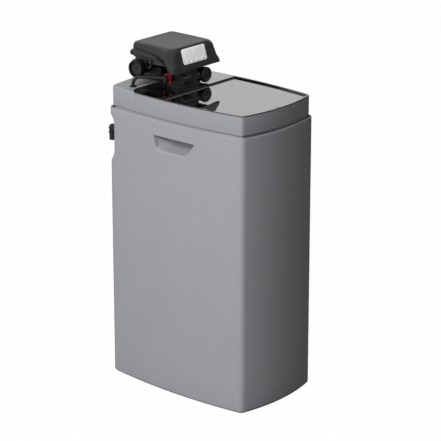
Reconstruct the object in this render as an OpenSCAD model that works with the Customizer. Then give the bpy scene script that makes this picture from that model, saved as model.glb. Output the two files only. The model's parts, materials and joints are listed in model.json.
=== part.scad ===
// Cabinet water softener with a metered control valve, in millimetres.
// Origin at the centre of the footprint on the floor, front face towards -Y, +Z up.

/* [Cabinet] */
// Width across the crowns of the long sides
cabinet_w = 320; // [312:1:330]
// Depth across the crowns of the front and rear
cabinet_d = 500; // [494:1:520]
// Height of the top lip above the floor
cabinet_h = 758; // [750:1:790]
// Wall and floor thickness
cabinet_wall = 4; // [3:0.5:5]
// Rise of a long side's curve
side_bulge = 17.5; // [14:0.5:20]
// Rise of the front's curve
front_bulge = 20.5; // [16:0.5:24]
// Rise of the rear's curve
rear_bulge = 16.5; // [14:0.5:20]
// Radius of the upright corners
corner_r = 18; // [17:0.5:24]
// Radius of the bottom edge
foot_r = 10; // [6:1:12]
// Radius of the top lip
lip_r = 3; // [2:0.5:3.5]
// Width of the inner ledge that carries the collar
ledge_w = 10; // [9:0.5:12]
// Depth of the ledge's top below the lip
ledge_drop = 8; // [6:0.5:10]
// Thickness of the ledge
ledge_t = 4; // [3:0.5:5]

/* [Rear recess] */
// Depth of the recess from the rear crown to its floor
recess_depth = 35; // [30:1:38]
// Depth of the recess's mid line below the cabinet's lip
recess_below = 80; // [78:1:98]
// Height of the recess's flat floor
recess_h = 88; // [80:1:96]
// Height and depth of the recess's upper sloped edge
recess_slope = 19; // [14:1:22]
// Height of the recess's lower sloped edge
recess_lower = 28; // [20:1:30]

/* [Hand holds] */
// Depth of the hand-hold's flat roof below the cabinet's lip
hold_below = 42; // [38:1:68]
// Height of the hand-hold's mouth
hold_h = 38; // [34:1:44]
// Depth of the hand-hold
hold_depth = 26; // [20:1:30]
// Width of the mouth along its roof
hold_w = 145; // [130:1:150]
// Distance of the hand-hold in front of the middle
hold_y = 9.5; // [0:0.5:12]
// Run of each sloped end of the hand-hold
hold_end = 36; // [20:1:40]

/* [Collar and deck] */
// Step from the cabinet's side in to the collar
collar_inset = 7.2; // [6:0.2:8]
// Wall thickness of the collar
collar_wall = 3; // [2.5:0.5:4]
// Height of the shadow gap between the cabinet's lip and the collar
shadow_h = 5; // [3:0.5:7]
// Depth of the shadow gap behind the collar's face
shadow_in = 4; // [2:0.5:4]
// Height of the deck's top above the cabinet's lip
collar_rise = 57; // [50:1:65]
// Thickness of the deck and of the frame plate
deck_t = 3; // [2.5:0.5:4]
// Depth of the grey rear deck from the rear crown
rear_deck = 90; // [88:1:94]
// Distance of the salt lid's rear edge in front of the tank's axis
step_gap = 57; // [54:1:60]

/* [Salt lid] */
// Width of the frame's rim round the lid
rim_w = 5; // [4.5:0.5:7]
// Thickness of the lid
lid_t = 5; // [4:0.5:6]
// Depth of the lid's top below the rim
lid_drop = 4.5; // [4:0.5:7]
// Gap round the lid
lid_gap = 0.8; // [0.5:0.1:1.2]
// Radius of the hinge pins
lid_pin_r = 1.5; // [1:0.1:1.8]
// Length of each hinge pin inside the lid
lid_pin_l = 10; // [6:1:14]
// Radius of the finger notch in the lid's front edge
notch_r = 12; // [10:1:16]

/* [Resin tank] */
// Distance of the tank's axis from the rear crown
tank_rear = 150; // [148:1:152]
// Room between the tank and the crown of a long side
tank_room = 57; // [56:1:64]
// Wall thickness of the tank
tank_wall = 4; // [3:0.5:6]
// Height of each dome
dome_h = 48; // [40:1:60]
// Outer radius of the threaded neck
neck_r = 32; // [30:0.5:33]
// Wall thickness of the neck
neck_wall = 6; // [5:0.5:7]
// Wall thickness of the boot
boot_wall = 4; // [3:0.5:6]
// Height of the boot
boot_h = 70; // [64:1:90]
// Height of the resin bed above the cabinet's floor
resin_h = 520; // [400:10:600]
// Outer radius of the riser tube
riser_r = 13.4; // [12.5:0.1:14]
// Wall thickness of the riser tube
riser_wall = 2.2; // [1.5:0.1:3]
// Outer radius of the lower strainer
strainer_r = 22; // [20:1:24]
// Height of the lower strainer
strainer_h = 54; // [40:1:60]
// Number of slots round a strainer
strainer_slots = 10; // [6:1:16]

/* [Brine side] */
// Bearing of the brine well from the tank, behind its left side, in degrees
well_turn = 35.84; // [35:0.02:37]
// Gap between the brine well and the tank's boot
well_gap = 1.9; // [1:0.1:3]
// Outer radius of the brine well
well_r = 24; // [22:0.5:25]
// Wall thickness of the brine well
well_wall = 2; // [1.5:0.5:2.5]
// Depth of the brine well's top below the cabinet's lip
well_below = 28; // [24:1:140]
// Radius of the brine tube
tube_r = 4.75; // [4:0.05:5]
// Wall thickness of the brine tube
tube_wall = 1.2; // [0.8:0.1:1.5]
// Bend radius of the brine tube
tube_bend = 20; // [18:1:24]
// Height of the brine tube's run above the deck
tube_rise = 27; // [25:1:30]
// Radius of the float
float_r = 18; // [15:0.5:19]
// Height of the float
float_h = 50; // [40:1:60]
// Height of the float's lower stop
float_z = 300; // [200:5:400]
// Travel of the float
float_travel = 60; // [40:5:80]
// Radius of the air check at the foot of the brine tube
check_r = 15; // [12:0.5:18]
// Height of the air check
check_h = 46; // [40:1:60]
// Height of the salt grid above the cabinet's floor
grid_z = 116; // [90:2:140]
// Thickness of the salt grid
grid_t = 4; // [3:0.5:6]
// Radius of the salt grid's holes
grid_hole_r = 5; // [4:0.5:6]
// Pitch of the salt grid's holes
grid_pitch = 34; // [30:1:40]

/* [Control valve] */
// Outer radius of the tank adapter
adapter_r = 47; // [44:0.5:48]
// Outer radius of the valve body
valve_r = 44; // [42:0.5:45]
// Height of the valve body above the deck
valve_rise = 51; // [49:1:53]
// Radius of the rotor chamber
chamber_r = 35; // [33:0.5:35.5]
// Depth of the rotor chamber
chamber_h = 26; // [24:1:28]
// Thickness of each ceramic disc
disc_t = 6; // [5:0.5:7]
// Radius of the drive shaft
shaft_r = 5; // [4:0.5:6]
// Thickness of the bonnet
bonnet_t = 8; // [7:0.5:10]
// Radius of the bonnet screws
bonnet_screw_r = 2; // [1.5:0.25:2.5]
// Number of bonnet screws
bonnet_screws_n = 6; // [4:1:8]
// Radius of the water spigots, one inch male thread
spigot_r = 16.6; // [13:0.1:17]
// Bore of the water spigots
spigot_bore = 12; // [10:0.5:12.5]
// Distance of each water spigot from the middle
spigot_x = 38; // [36:1:42]
// Height of the water spigots above the deck
spigot_rise = 35; // [34:1:37]
// Distance of the water spigots' ends behind the tank's axis
spigot_reach = 138; // [132:1:140]
// Radius of the meter cap
meter_cap_r = 23.5; // [22:0.5:23.5]
// Thickness of the meter cap
meter_cap_t = 12; // [10:0.5:14]
// Where the meter cap meets its housing
meter_x = -82.5; // [-84:0.5:-82]
// Distance of the meter behind the tank's axis
meter_back = 80; // [78:1:81]
// Height of the meter's axis above the deck
meter_rise = 45; // [44:0.5:46]
// Radius of the meter housing
meter_r = 17; // [16:0.5:17.5]
// Bore of the meter housing
meter_bore = 13; // [12:0.5:14]
// Radius of the meter axle
axle_r = 1.5; // [1.2:0.1:2]
// Position of the injector across the valve
injector_x = 45; // [43:1:47]
// Height of the injector's axis above the deck
injector_rise = 23; // [22.5:0.5:25]
// Radius of the injector cap
injector_cap_r = 21; // [18:0.5:21]
// Thickness of the injector cap
injector_cap_t = 12; // [10:0.5:14]
// Distance of the injector cap's face in front of the tank's axis
injector_reach = 49; // [49:0.5:52]
// Radius of the injector housing
injector_r = 19.5; // [17:0.5:20]
// Bore of the injector housing
injector_bore = 8; // [6:0.5:9]
// Height of the brine and drain ports above the deck
port_rise = 27; // [25:1:29]
// Radius of the brine and drain port bosses
port_r = 12; // [11:0.5:13]
// Radius of the plug of each port's elbow
plug_r = 7; // [6:0.5:8]
// Distance of the drain port behind the tank's axis
drain_back = 28; // [26:1:32]

/* [Drive] */
// Gear module
gear_m = 1; // [0.9:0.05:1.1]
// Teeth of the drive gear
gear_teeth = 60; // [52:4:64]
// Teeth of the motor pinion
pinion_teeth = 15; // [13:2:17]
// Face width of the gears
gear_t = 6; // [4:0.5:7]
// Height of the bracket's floor above the bonnet
bracket_rise = 10; // [8:0.5:11]
// Thickness of the bracket's floor
bracket_t = 3; // [2.5:0.5:4]
// Radius of the motor
motor_r = 17; // [15:0.5:18]
// Height of the motor
motor_h = 14; // [12:0.5:15]

/* [Hood] */
// Wall thickness of the hood
hood_wall = 2.5; // [2:0.25:3]
// Half width of the hood's rear at its lower edge
hood_rear_w = 82; // [81:0.5:84]
// Half width of the hood's flared front corners
hood_front_w = 95; // [90:0.5:98]
// Distance of the hood's lower front edge in front of the tank's axis
hood_reach = 53; // [51:0.5:53.5]
// Distance of the hood's rear behind the tank's axis
hood_back = 105; // [104:0.5:108]
// Height of the lower front edge above the deck
hood_front_rise = 51; // [50:0.5:53]
// Height of the hood's top above the deck
hood_rise = 114; // [112:0.5:116]
// Lean of the display from upright, in degrees
display_lean = 16.7; // [14:0.1:18]
// Width of the display window
display_w = 93; // [80:1:96]
// Height of the display window
display_h = 42; // [38:1:43]
// Corner radius of the display window
display_r = 6; // [4:0.5:8]
// Thickness of the display lens
lens_t = 2; // [1.5:0.25:2.5]
// Width of a key
key_w = 11; // [8:0.5:13]
// Height of a key
key_h = 5; // [4:0.5:6]
// Travel of a key
key_travel = 1; // [0.6:0.1:1.2]

/* [Overflow] */
// Distance of the overflow in from the crown of the left side
overflow_in = 35; // [33:0.5:38]
// Depth of the overflow's stub below the cabinet's lip
overflow_below = 63; // [60:1:74]
// Distance of the overflow's hose leg in front of the rear crown
overflow_set = 11.5; // [11.5:0.5:14]
// Radius of the overflow's bend
overflow_r = 10.5; // [9:0.5:10.5]
// Bore of the overflow elbow
overflow_bore = 6.5; // [5:0.5:7]
// Radius of the stub through the wall
overflow_stub_r = 8; // [7.5:0.25:9]
// Length of the hose leg
overflow_leg = 33; // [28:1:36]

/* [Hidden] */

$fn = 64;
slack = 0.05;
gap = 0.3;
cut = 1;

cabinet_grey = "#A9ADB1";
collar_grey = "#A4A7AA";
gloss_black = "#141517";
matt_black = "#2A2B2D";
steel = "#B9BCC0";
clip_red = "#A81222";

half_w = cabinet_w / 2;
half_d = cabinet_d / 2;
tank_y = half_d - tank_rear;
tank_r = half_w - tank_room;
step_y = tank_y - step_gap;
rear_deck_y = half_d - rear_deck;
recess_z = cabinet_h - recess_below;
hold_z = cabinet_h - hold_below;
well_reach = tank_r + gap + boot_wall + well_gap + well_r;
well_x = -well_reach * cos(well_turn);
well_y = tank_y + well_reach * sin(well_turn);
well_h = cabinet_h - well_below - cabinet_wall;
spigot_end = tank_y + spigot_reach;
meter_y = tank_y + meter_back;
injector_face_y = tank_y - injector_reach;
drain_y = tank_y + drain_back;
hood_front_y = tank_y - hood_reach;
hood_rear_y = tank_y + hood_back;
overflow_x = overflow_in - half_w;
overflow_y = half_d - overflow_set;
overflow_z = cabinet_h - overflow_below;
side_half = half_d - (front_bulge + rear_bulge) / 2;
end_half = half_w - side_bulge;
function arc_radius(half_chord, rise) = (half_chord * half_chord + rise * rise) / (2 * rise);
side_radius = arc_radius(side_half, side_bulge);
front_radius = arc_radius(end_half, front_bulge);
rear_radius = arc_radius(end_half, rear_bulge);
side_centre = [half_w - side_radius, 0];
front_centre = [0, front_radius - half_d];
rear_centre = [0, half_d - rear_radius];

// Where two circles cross, on the left (1) or right (-1) of the line between their centres
function crossing(c0, r0, c1, r1, hand) =
    let (
        d = norm(c1 - c0),
        u = (c1 - c0) / d,
        t = (r0 * r0 - r1 * r1 + d * d) / (2 * d),
        h = sqrt(r0 * r0 - t * t)
    )
    c0 + u * t + hand * h * [-u[1], u[0]];
function bearing(c, p) = atan2(p[1] - c[1], p[0] - c[0]);
front_corner = crossing(side_centre, side_radius - corner_r, front_centre, front_radius - corner_r, -1);
rear_corner = crossing(side_centre, side_radius - corner_r, rear_centre, rear_radius - corner_r, 1);
front_turn = bearing(front_centre, front_corner);
side_turn_front = bearing(side_centre, front_corner);
side_turn_rear = bearing(side_centre, rear_corner);
rear_turn = bearing(rear_centre, rear_corner);

function flip(p) = [-p[0], p[1]];
// Points of an arc without its last one
function arc(c, r, from, to, n) =
    [for (i = [0:n - 1]) let (a = from + (to - from) * i / n) c + r * [cos(a), sin(a)]];
// The cabinet's plan outline, moved in by d
function outline(d) =
    let (r = max(corner_r - d, 0.4))
    concat(
        arc(front_centre, front_radius - d, -180 - front_turn, front_turn, 14),
        arc(front_corner, r, front_turn, side_turn_front, 6),
        arc(side_centre, side_radius - d, side_turn_front, side_turn_rear, 20),
        arc(rear_corner, r, side_turn_rear, rear_turn, 6),
        arc(rear_centre, rear_radius - d, rear_turn, 180 - rear_turn, 12),
        arc(flip(rear_corner), r, 180 - rear_turn, 180 - side_turn_rear, 6),
        arc(flip(side_centre), side_radius - d, 180 - side_turn_rear, 180 - side_turn_front, 20),
        arc(flip(front_corner), r, 180 - side_turn_front, 180 - front_turn, 6)
    );
// Half width of the outline moved in by d, at a place along the long side
function half_width(y, d) = side_centre[0] + sqrt(pow(side_radius - d, 2) - y * y);
function lift(points, z) = [for (p = points) [p[0], p[1], z]];

deck_z = cabinet_h + collar_rise;
plate_z = deck_z - deck_t;
ledge_z = cabinet_h - ledge_drop;
floor_z = cabinet_wall;
recess_floor = half_d - recess_depth;

// A prism of the outline moved in by d
module slab(d, z0, z1) {
    translate([0, 0, z0]) linear_extrude(z1 - z0) polygon(outline(d));
}

// A large block that keeps one stretch along Y
module stretch(y0, y1) {
    translate([-cabinet_w, y0, 0]) cube([2 * cabinet_w, y1 - y0, 2 * cabinet_h]);
}

// A closed skin through rings of points, each counted anticlockwise from above
module loft(rings) {
    n = len(rings[0]);
    m = len(rings);
    ends = [for (r = [rings[0], rings[m - 1]]) [for (k = [0:2]) [for (p = r) 1] * [for (p = r) p[k]] / n]];
    sides = [
        for (i = [0:m - 2], j = [0:n - 1])
            let (a = i * n + j, b = i * n + (j + 1) % n)
            each [[a, a + n, b + n], [a, b + n, b]]
    ];
    bottom = [for (j = [0:n - 1]) [m * n, j, (j + 1) % n]];
    top = [for (j = [0:n - 1]) [m * n + 1, (m - 1) * n + (j + 1) % n, (m - 1) * n + j]];
    polyhedron(concat([for (r = rings) each r], ends), concat(sides, bottom, top));
}

// A cylinder along X, Y or Z from a point
module rod_x(p, r, l) {
    translate(p) rotate([0, 90, 0]) cylinder(r = r, h = l);
}
module rod_y(p, r, l) {
    translate(p) rotate([-90, 0, 0]) cylinder(r = r, h = l);
}
module rod_z(p, r, l) {
    translate(p) cylinder(r = r, h = l);
}
module ring_z(p, outer, inner, h) {
    translate(p) difference() {
        cylinder(r = outer, h = h);
        translate([0, 0, -cut]) cylinder(r = inner, h = h + 2 * cut);
    }
}

// Cabinet

// The space of the rear recess, grown by g
module recess_space(g) {
    low = recess_z - recess_h / 2;
    high = recess_z + recess_h / 2;
    shelf = recess_floor + recess_slope;
    translate([-cabinet_w, 0, 0]) rotate([90, 0, 90]) linear_extrude(2 * cabinet_w) polygon([
        [recess_floor - g, low - g / 2],
        [shelf - g / 2, low - recess_lower - g],
        [cabinet_d, low - recess_lower - g],
        [cabinet_d, high + recess_slope + g],
        [shelf - g / 2, high + recess_slope + g],
        [recess_floor - g, high + g / 2]
    ]);
}

// The space of the left hand-hold, grown by g: a scoop with a flat roof, a sloped floor and sloped ends
module hold_space(g) {
    inner = hold_depth - half_w + g;
    outer = -half_w - 3 * g - 4 * cut;
    low = hold_z - hold_h - g;
    lip = hold_h * 0.3;
    slope = (hold_h - lip) / hold_depth;
    front_slant = 0.82;
    rear_slant = 0.34;
    reach = 2 * hold_h;
    end_run = hold_end / hold_depth;
    mouth = hold_w / 2 + g * norm([1, end_run]);
    wide = mouth - (outer + half_w) * end_run;
    deep = mouth - (inner + half_w) * end_run;
    intersection() {
        translate([0, cabinet_d / 2, 0]) rotate([90, 0, 0]) linear_extrude(cabinet_d) polygon([
            [outer, hold_z + g],
            [outer, low + (outer + half_w) * slope],
            [inner, hold_z - lip - g / 2],
            [inner, hold_z + g]
        ]);
        translate([-cabinet_w, -hold_y, hold_z + g]) rotate([90, 0, 90]) linear_extrude(cabinet_w) polygon([
            [hold_w / 2 + g, cut],
            [-hold_w / 2 - g, cut],
            [-hold_w / 2 - g + front_slant * reach, -reach],
            [hold_w / 2 + g - rear_slant * reach, -reach]
        ]);
        translate([0, -hold_y, 0]) linear_extrude(cabinet_h)
            polygon([[outer, wide], [outer, -wide], [inner, -deep], [inner, deep]]);
    }
}

module hold_pair(g) {
    hold_space(g);
    mirror([1, 0, 0]) hold_space(g);
}

module cabinet_outside() {
    steps = 4;
    foot = [for (i = [0:steps]) let (a = 90 * i / steps)
        lift(outline(foot_r * (1 - sin(a))), foot_r * (1 - cos(a)))];
    lip = [for (i = [0:steps]) let (a = 90 * i / steps)
        lift(outline(lip_r * (1 - cos(a))), cabinet_h - lip_r * (1 - sin(a)))];
    loft(concat(foot, lip));
}

module cabinet_cavity() {
    slab(cabinet_wall, floor_z, ledge_z - ledge_t);
    slab(cabinet_wall + ledge_w, ledge_z - ledge_t - cut, ledge_z + cut);
    slab(cabinet_wall, ledge_z, cabinet_h + cut);
}

module cabinet_shell() {
    color(cabinet_grey) difference() {
        cabinet_outside();
        recess_space(0);
        hold_pair(0);
        difference() {
            cabinet_cavity();
            recess_space(cabinet_wall);
            hold_pair(cabinet_wall);
        }
        rod_y(
            [overflow_x, recess_floor - 2 * cabinet_wall, overflow_z],
            overflow_stub_r + gap,
            3 * cabinet_wall
        );
    }
}

wall_step = 3;
deck_front = step_y + wall_step + gap;

module collar() {
    inner = collar_inset + collar_wall;
    foot_top = cabinet_h + shadow_h;
    wall_from = foot_top + collar_wall;
    edge_steps = 3;
    color(collar_grey) difference() {
        union() {
            slab(collar_inset + shadow_in, ledge_z, foot_top + cut);
            slab(collar_inset, foot_top, plate_z);
            intersection() {
                loft([for (i = [0:edge_steps]) let (a = 90 * i / edge_steps)
                    lift(outline(collar_inset + deck_t * (1 - cos(a))), plate_z + deck_t * sin(a))]);
                stretch(rear_deck_y, cabinet_d);
            }
        }
        slab(inner + shadow_in, ledge_z - cut, wall_from + cut);
        slab(inner, wall_from, plate_z - deck_t);
        intersection() {
            slab(inner, wall_from, plate_z + cut);
            stretch(-cabinet_d, deck_front);
        }
        intersection() {
            slab(inner, wall_from, plate_z);
            stretch(rear_deck_y + collar_wall, cabinet_d);
        }
        rod_z([0, tank_y, ledge_z], adapter_r + 2 * collar_wall, deck_z);
        rod_z([well_x, well_y, ledge_z], grommet_r, deck_z);
    }
}

// Deck frame and salt lid

lid_top = deck_z - lid_drop;
lid_under = lid_top - lid_t;
hinge_z = lid_top - lid_t / 2;
hinge_y = step_y - lid_t / 2 - 0.5;
frame_outer = collar_inset + collar_wall + gap;
frame_inner = collar_inset + rim_w;
shelf_t = 2;
frame_bottom = lid_under - gap - shelf_t;
shelf_w = 4;
lid_inset = frame_inner + lid_gap;
lid_half = half_width(hinge_y, lid_inset);

module deck_frame() {
    color(gloss_black) difference() {
        union() {
            intersection() {
                slab(collar_inset, plate_z, deck_z);
                stretch(-cabinet_d, rear_deck_y - gap);
            }
            intersection() {
                slab(frame_outer, frame_bottom, plate_z + cut);
                stretch(-cabinet_d, step_y + wall_step);
            }
        }
        intersection() {
            slab(frame_inner, frame_bottom + shelf_t, deck_z + cut);
            stretch(-cabinet_d, step_y);
        }
        intersection() {
            slab(frame_inner + shelf_w, frame_bottom - cut, deck_z);
            stretch(-cabinet_d, step_y);
        }
        translate([-cabinet_w, hinge_y - lid_t, frame_bottom - cut])
            cube([2 * cabinet_w, step_y - hinge_y + lid_t, shelf_t + cut]);
        rod_z([0, tank_y, plate_z - cut], adapter_r + 2.5, deck_t + 2 * cut);
        rod_x([-cabinet_w, hinge_y, hinge_z], lid_pin_r + slack, 2 * cabinet_w);
    }
}

module salt_lid() {
    front_edge = lid_inset - half_d;
    color(gloss_black) difference() {
        union() {
            intersection() {
                slab(lid_inset, lid_under, lid_top);
                stretch(-cabinet_d, hinge_y);
            }
            rod_x([-lid_half, hinge_y, hinge_z], lid_t / 2, 2 * lid_half);
        }
        rod_z([0, front_edge, lid_under - cut], notch_r, lid_t + 2 * cut);
        for (s = [-1, 1])
            rod_x([s * lid_half - lid_pin_l, hinge_y, hinge_z], lid_pin_r, 2 * lid_pin_l);
    }
}

module lid_pins() {
    wall_outer = half_width(hinge_y, frame_outer) - gap;
    start = lid_half - lid_pin_l;
    color(steel) for (s = [0, 1]) mirror([s, 0, 0])
        rod_x([start, hinge_y, hinge_z], lid_pin_r, wall_outer - start);
}

// Resin tank, all about the tank's axis

boot_floor = floor_z + boot_wall;
tank_z = boot_floor + gap;
neck_top = deck_z + 1;
neck_h = 26;
dome_r = arc_radius(tank_r, dome_h);
tank_top = neck_top - neck_h;

module on_tank() {
    translate([0, tank_y, 0]) children();
}

// Half profile of the tank moved in by w, without its neck
module tank_profile(w) {
    r = tank_r - w;
    translate([0, tank_z + dome_h]) square([r, tank_top - tank_z - 2 * dome_h]);
    intersection() {
        translate([0, tank_z + dome_r]) circle(r = dome_r - w, $fn = 160);
        translate([0, tank_z]) square([r, dome_h + cut]);
    }
    intersection() {
        translate([0, tank_top - dome_r]) circle(r = dome_r - w, $fn = 160);
        translate([0, tank_top - dome_h - cut]) square([r, dome_h + cut]);
    }
}

module resin_tank() {
    color("#2F4358") on_tank() rotate_extrude($fn = 160) difference() {
        union() {
            tank_profile(0);
            translate([0, tank_top - dome_h / 2]) square([neck_r, neck_top - tank_top + dome_h / 2]);
        }
        tank_profile(tank_wall);
        translate([0, tank_top - dome_h]) square([neck_r - neck_wall, dome_h + neck_h + cut]);
    }
}

module tank_boot() {
    color(matt_black) on_tank() rotate_extrude($fn = 160) difference() {
        translate([0, floor_z]) square([tank_r + gap + boot_wall, boot_h]);
        translate([0, boot_floor]) square([tank_r + gap, boot_h]);
    }
}

strainer_z = tank_z + tank_wall + 2;

module resin_bed() {
    color("#8A5A2B") on_tank() rotate_extrude($fn = 160) difference() {
        intersection() {
            tank_profile(tank_wall + gap);
            square([tank_r, floor_z + resin_h]);
        }
        square([strainer_r + gap, strainer_z + strainer_h + gap]);
        square([riser_r + gap, neck_top]);
    }
}

thread_l = 13;
valve_floor = neck_top - thread_l;
valve_top = deck_z + valve_rise;
chamber_floor = valve_top - chamber_h;
riser_seat = 20;
strainer_wall = 3;
riser_bottom = strainer_z + strainer_h - riser_seat;
riser_top = chamber_floor - 2;

module riser_tube() {
    color("#D8D8D2") on_tank()
        ring_z([0, 0, riser_bottom], riser_r, riser_r - riser_wall, riser_top - riser_bottom);
}

// A closed cup with slots all round, open at the top for the riser
module strainer_slots_cut(r, h) {
    for (i = [0:strainer_slots - 1]) rotate(360 * i / strainer_slots)
        translate([r - 8, -1, 0]) cube([16, 2, h]);
}

module lower_strainer() {
    color("#D8D8D2") on_tank() translate([0, 0, strainer_z]) difference() {
        cylinder(r = strainer_r, h = strainer_h);
        translate([0, 0, strainer_wall])
            cylinder(r = strainer_r - strainer_wall, h = strainer_h - riser_seat - strainer_wall - 2 * cut);
        translate([0, 0, strainer_h - riser_seat]) cylinder(r = riser_r, h = riser_seat + cut);
        translate([0, 0, strainer_h - riser_seat - 4]) cylinder(r = riser_r - riser_wall, h = riser_seat);
        translate([0, 0, 2 * strainer_wall]) strainer_slots_cut(strainer_r, strainer_h - riser_seat - 12);
    }
}

upper_r = neck_r - neck_wall - gap;
upper_h = 30;

module upper_strainer() {
    color("#D8D8D2") on_tank() translate([0, 0, valve_floor - upper_h]) difference() {
        cylinder(r = upper_r, h = upper_h);
        translate([0, 0, -cut]) cylinder(r = riser_r + gap, h = upper_h + 2 * cut);
        translate([0, 0, 3]) strainer_slots_cut(upper_r, upper_h - 8);
    }
}

seal_t = 3;

module neck_seal() {
    color("#1A1A1A") on_tank()
        ring_z([0, 0, neck_top], neck_r, neck_r - neck_wall + 1, seal_t);
}

// Brine side

module on_well() {
    translate([well_x, well_y, 0]) children();
}

well_z = floor_z;
well_top = well_z + well_h;
grommet_r = tube_r + 2.5;

module salt_grid() {
    leg_r = 9;
    inset = cabinet_wall + 3;
    rear = tank_y - 114;
    top = floor_z + grid_z;
    rows = floor((half_d - 60) / grid_pitch);
    columns = floor((half_w - 40) / grid_pitch);
    color("#D5D7D8") difference() {
        union() {
            intersection() {
                slab(inset, top, top + grid_t);
                stretch(-cabinet_d, rear);
            }
            for (x = [-1, 1], y = [0, 1])
                rod_z([x * (half_w - 60), -half_d + 60 + y * (half_d - 100), floor_z], leg_r, grid_z + cut);
        }
        for (i = [-columns:columns], j = [0:rows])
            rod_z([i * grid_pitch, rear - 20 - j * grid_pitch, top - cut], grid_hole_r, grid_t + 2 * cut);
        rod_z([0, tank_y, floor_z], tank_r + boot_wall + 3, 2 * grid_z);
    }
}

module brine_well() {
    slot_h = 30;
    color("#D5D7D8") on_well() difference() {
        ring_z([0, 0, well_z], well_r, well_r - well_wall, well_h);
        for (a = [0, 60, 120]) rotate(a)
            translate([-2 * well_r, -3, well_z + slot_h / 2]) cube([4 * well_r, 6, slot_h]);
    }
}

module well_cap() {
    cap_t = 3;
    skirt_h = 8;
    color(matt_black) on_well() difference() {
        union() {
            rod_z([0, 0, well_top], well_r + 1, cap_t);
            rod_z([0, 0, well_top - skirt_h], well_r - well_wall - gap, skirt_h + cut);
        }
        rod_z([0, 0, well_top - skirt_h - cut], tube_r + slack, skirt_h + cap_t + 2 * cut);
        ring_z([0, 0, well_top - skirt_h - cut], well_r - well_wall - 2, tube_r + 4, skirt_h + cut);
    }
}

check_z = floor_z + 8;
check_neck = 16;
tube_foot = check_z + check_h - check_neck + 2;
run_z = deck_z + tube_rise;
elbow_x = -64;
elbow_at = [elbow_x, tank_y, run_z];
run_turn = atan2(tank_y - well_y, elbow_x - well_x);
run_length = norm([elbow_x - well_x, tank_y - well_y]);
socket_l = 14;
nose_l = 8;

// The brine line's course as a solid of radius r, with bend_r round the bend, longer by e at each end
module tube_course(r, bend_r, e) {
    rise_top = run_z - tube_bend;
    run = run_length - tube_bend - nose_l;
    rod_z([0, 0, tube_foot - e], r, rise_top - tube_foot + e);
    rotate(run_turn) translate([tube_bend, 0, rise_top]) rotate([90, 0, 0])
        rotate(90) rotate_extrude(angle = 90) translate([tube_bend, 0]) circle(r = bend_r);
    rotate(run_turn) rod_x([tube_bend, 0, run_z], r, run + e);
}

module brine_tube() {
    color("#232426") on_well() difference() {
        tube_course(tube_r, tube_r - slack, 0);
        tube_course(tube_r - tube_wall, tube_r - tube_wall + slack, cut);
    }
}

module tube_grommet() {
    flange = 2;
    color("#17181A") on_well() difference() {
        union() {
            rod_z([0, 0, plate_z], grommet_r, deck_t + cut);
            rod_z([0, 0, deck_z], grommet_r + 2, flange);
            rod_z([0, 0, plate_z - flange], grommet_r + 1.5, flange);
        }
        rod_z([0, 0, plate_z - flange - cut], tube_r + slack, deck_t + 2 * flange + 2 * cut);
    }
}

module brine_float() {
    color("#E3E4E0") on_well()
        ring_z([0, 0, float_z + gap], float_r, tube_r + gap, float_h);
}

module float_stops() {
    stop_h = 6;
    color("#17181A") on_well() for (z = [float_z - stop_h, float_z + float_h + float_travel + 2 * gap])
        ring_z([0, 0, z], tube_r + 4, tube_r, stop_h);
}

module air_check() {
    color("#D5D7D8") on_well() difference() {
        union() {
            rod_z([0, 0, check_z], check_r, check_h - check_neck);
            rod_z([0, 0, check_z + check_h - check_neck - cut], tube_r + 3, check_neck + cut);
            for (a = [0, 90]) rotate(a)
                translate([-check_r, -2, floor_z]) cube([2 * check_r, 4, check_z - floor_z + cut]);
        }
        rod_z([0, 0, tube_foot], tube_r, check_h);
        rod_z([0, 0, check_z + 6], tube_r - tube_wall, check_h);
    }
}

// Control valve

spigot_z = deck_z + spigot_rise;
meter_z = deck_z + meter_rise;
injector_z = deck_z + injector_rise;
port_z = deck_z + tube_rise;
drain_z = deck_z + port_rise;
manifold_w = 116;
manifold_y0 = tank_y + 24;
manifold_y1 = tank_y + 106;
spigot_flange = 3;
manifold_z0 = deck_z + 17;
manifold_z1 = deck_z + 50;
meter_depth = 40;
injector_y = injector_face_y + injector_cap_t;
injector_depth = 34;
port_x = 52;
drain_x = 66;
front_r = 14;
front_y = tank_y - 30;
front_x0 = -42;
front_x1 = injector_x - injector_cap_r - cut;
screw_circle = (valve_r + chamber_r) / 2;
screw_head = 1.75;
screw_hole = 14;
plug_hole = 14;

module bonnet_screw_places() {
    on_tank() for (i = [0:bonnet_screws_n - 1]) rotate(360 * (i + 0.5) / bonnet_screws_n)
        translate([screw_circle, 0, 0]) children();
}

module valve_solid() {
    on_tank() {
        rod_z([0, 0, valve_floor], adapter_r, deck_z + 7 - valve_floor);
        rod_z([0, 0, deck_z], valve_r, valve_rise);
    }
    translate([-manifold_w / 2, manifold_y0, manifold_z0])
        cube([manifold_w, manifold_y1 - manifold_y0, manifold_z1 - manifold_z0]);
    rod_x([meter_x, meter_y, meter_z], meter_r, -meter_x - spigot_x + meter_r);
    for (s = [-1, 1]) {
        rod_y([s * spigot_x, manifold_y1 - cut, spigot_z], spigot_r + 2, spigot_flange + cut);
        rod_y([s * spigot_x, manifold_y1, spigot_z], spigot_r, spigot_end - manifold_y1);
    }
    rod_y([injector_x, injector_y, injector_z], injector_r, tank_y - injector_y);
    rod_x([front_x0, front_y, injector_z], front_r, front_x1 - front_x0);
    rod_x([front_x1 - cut, front_y, injector_z], front_y - injector_y - cut, injector_x - front_x1);
    rod_x([-port_x, tank_y, port_z], port_r, port_x);
    rod_x([0, drain_y, drain_z], port_r, drain_x);
}

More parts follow.
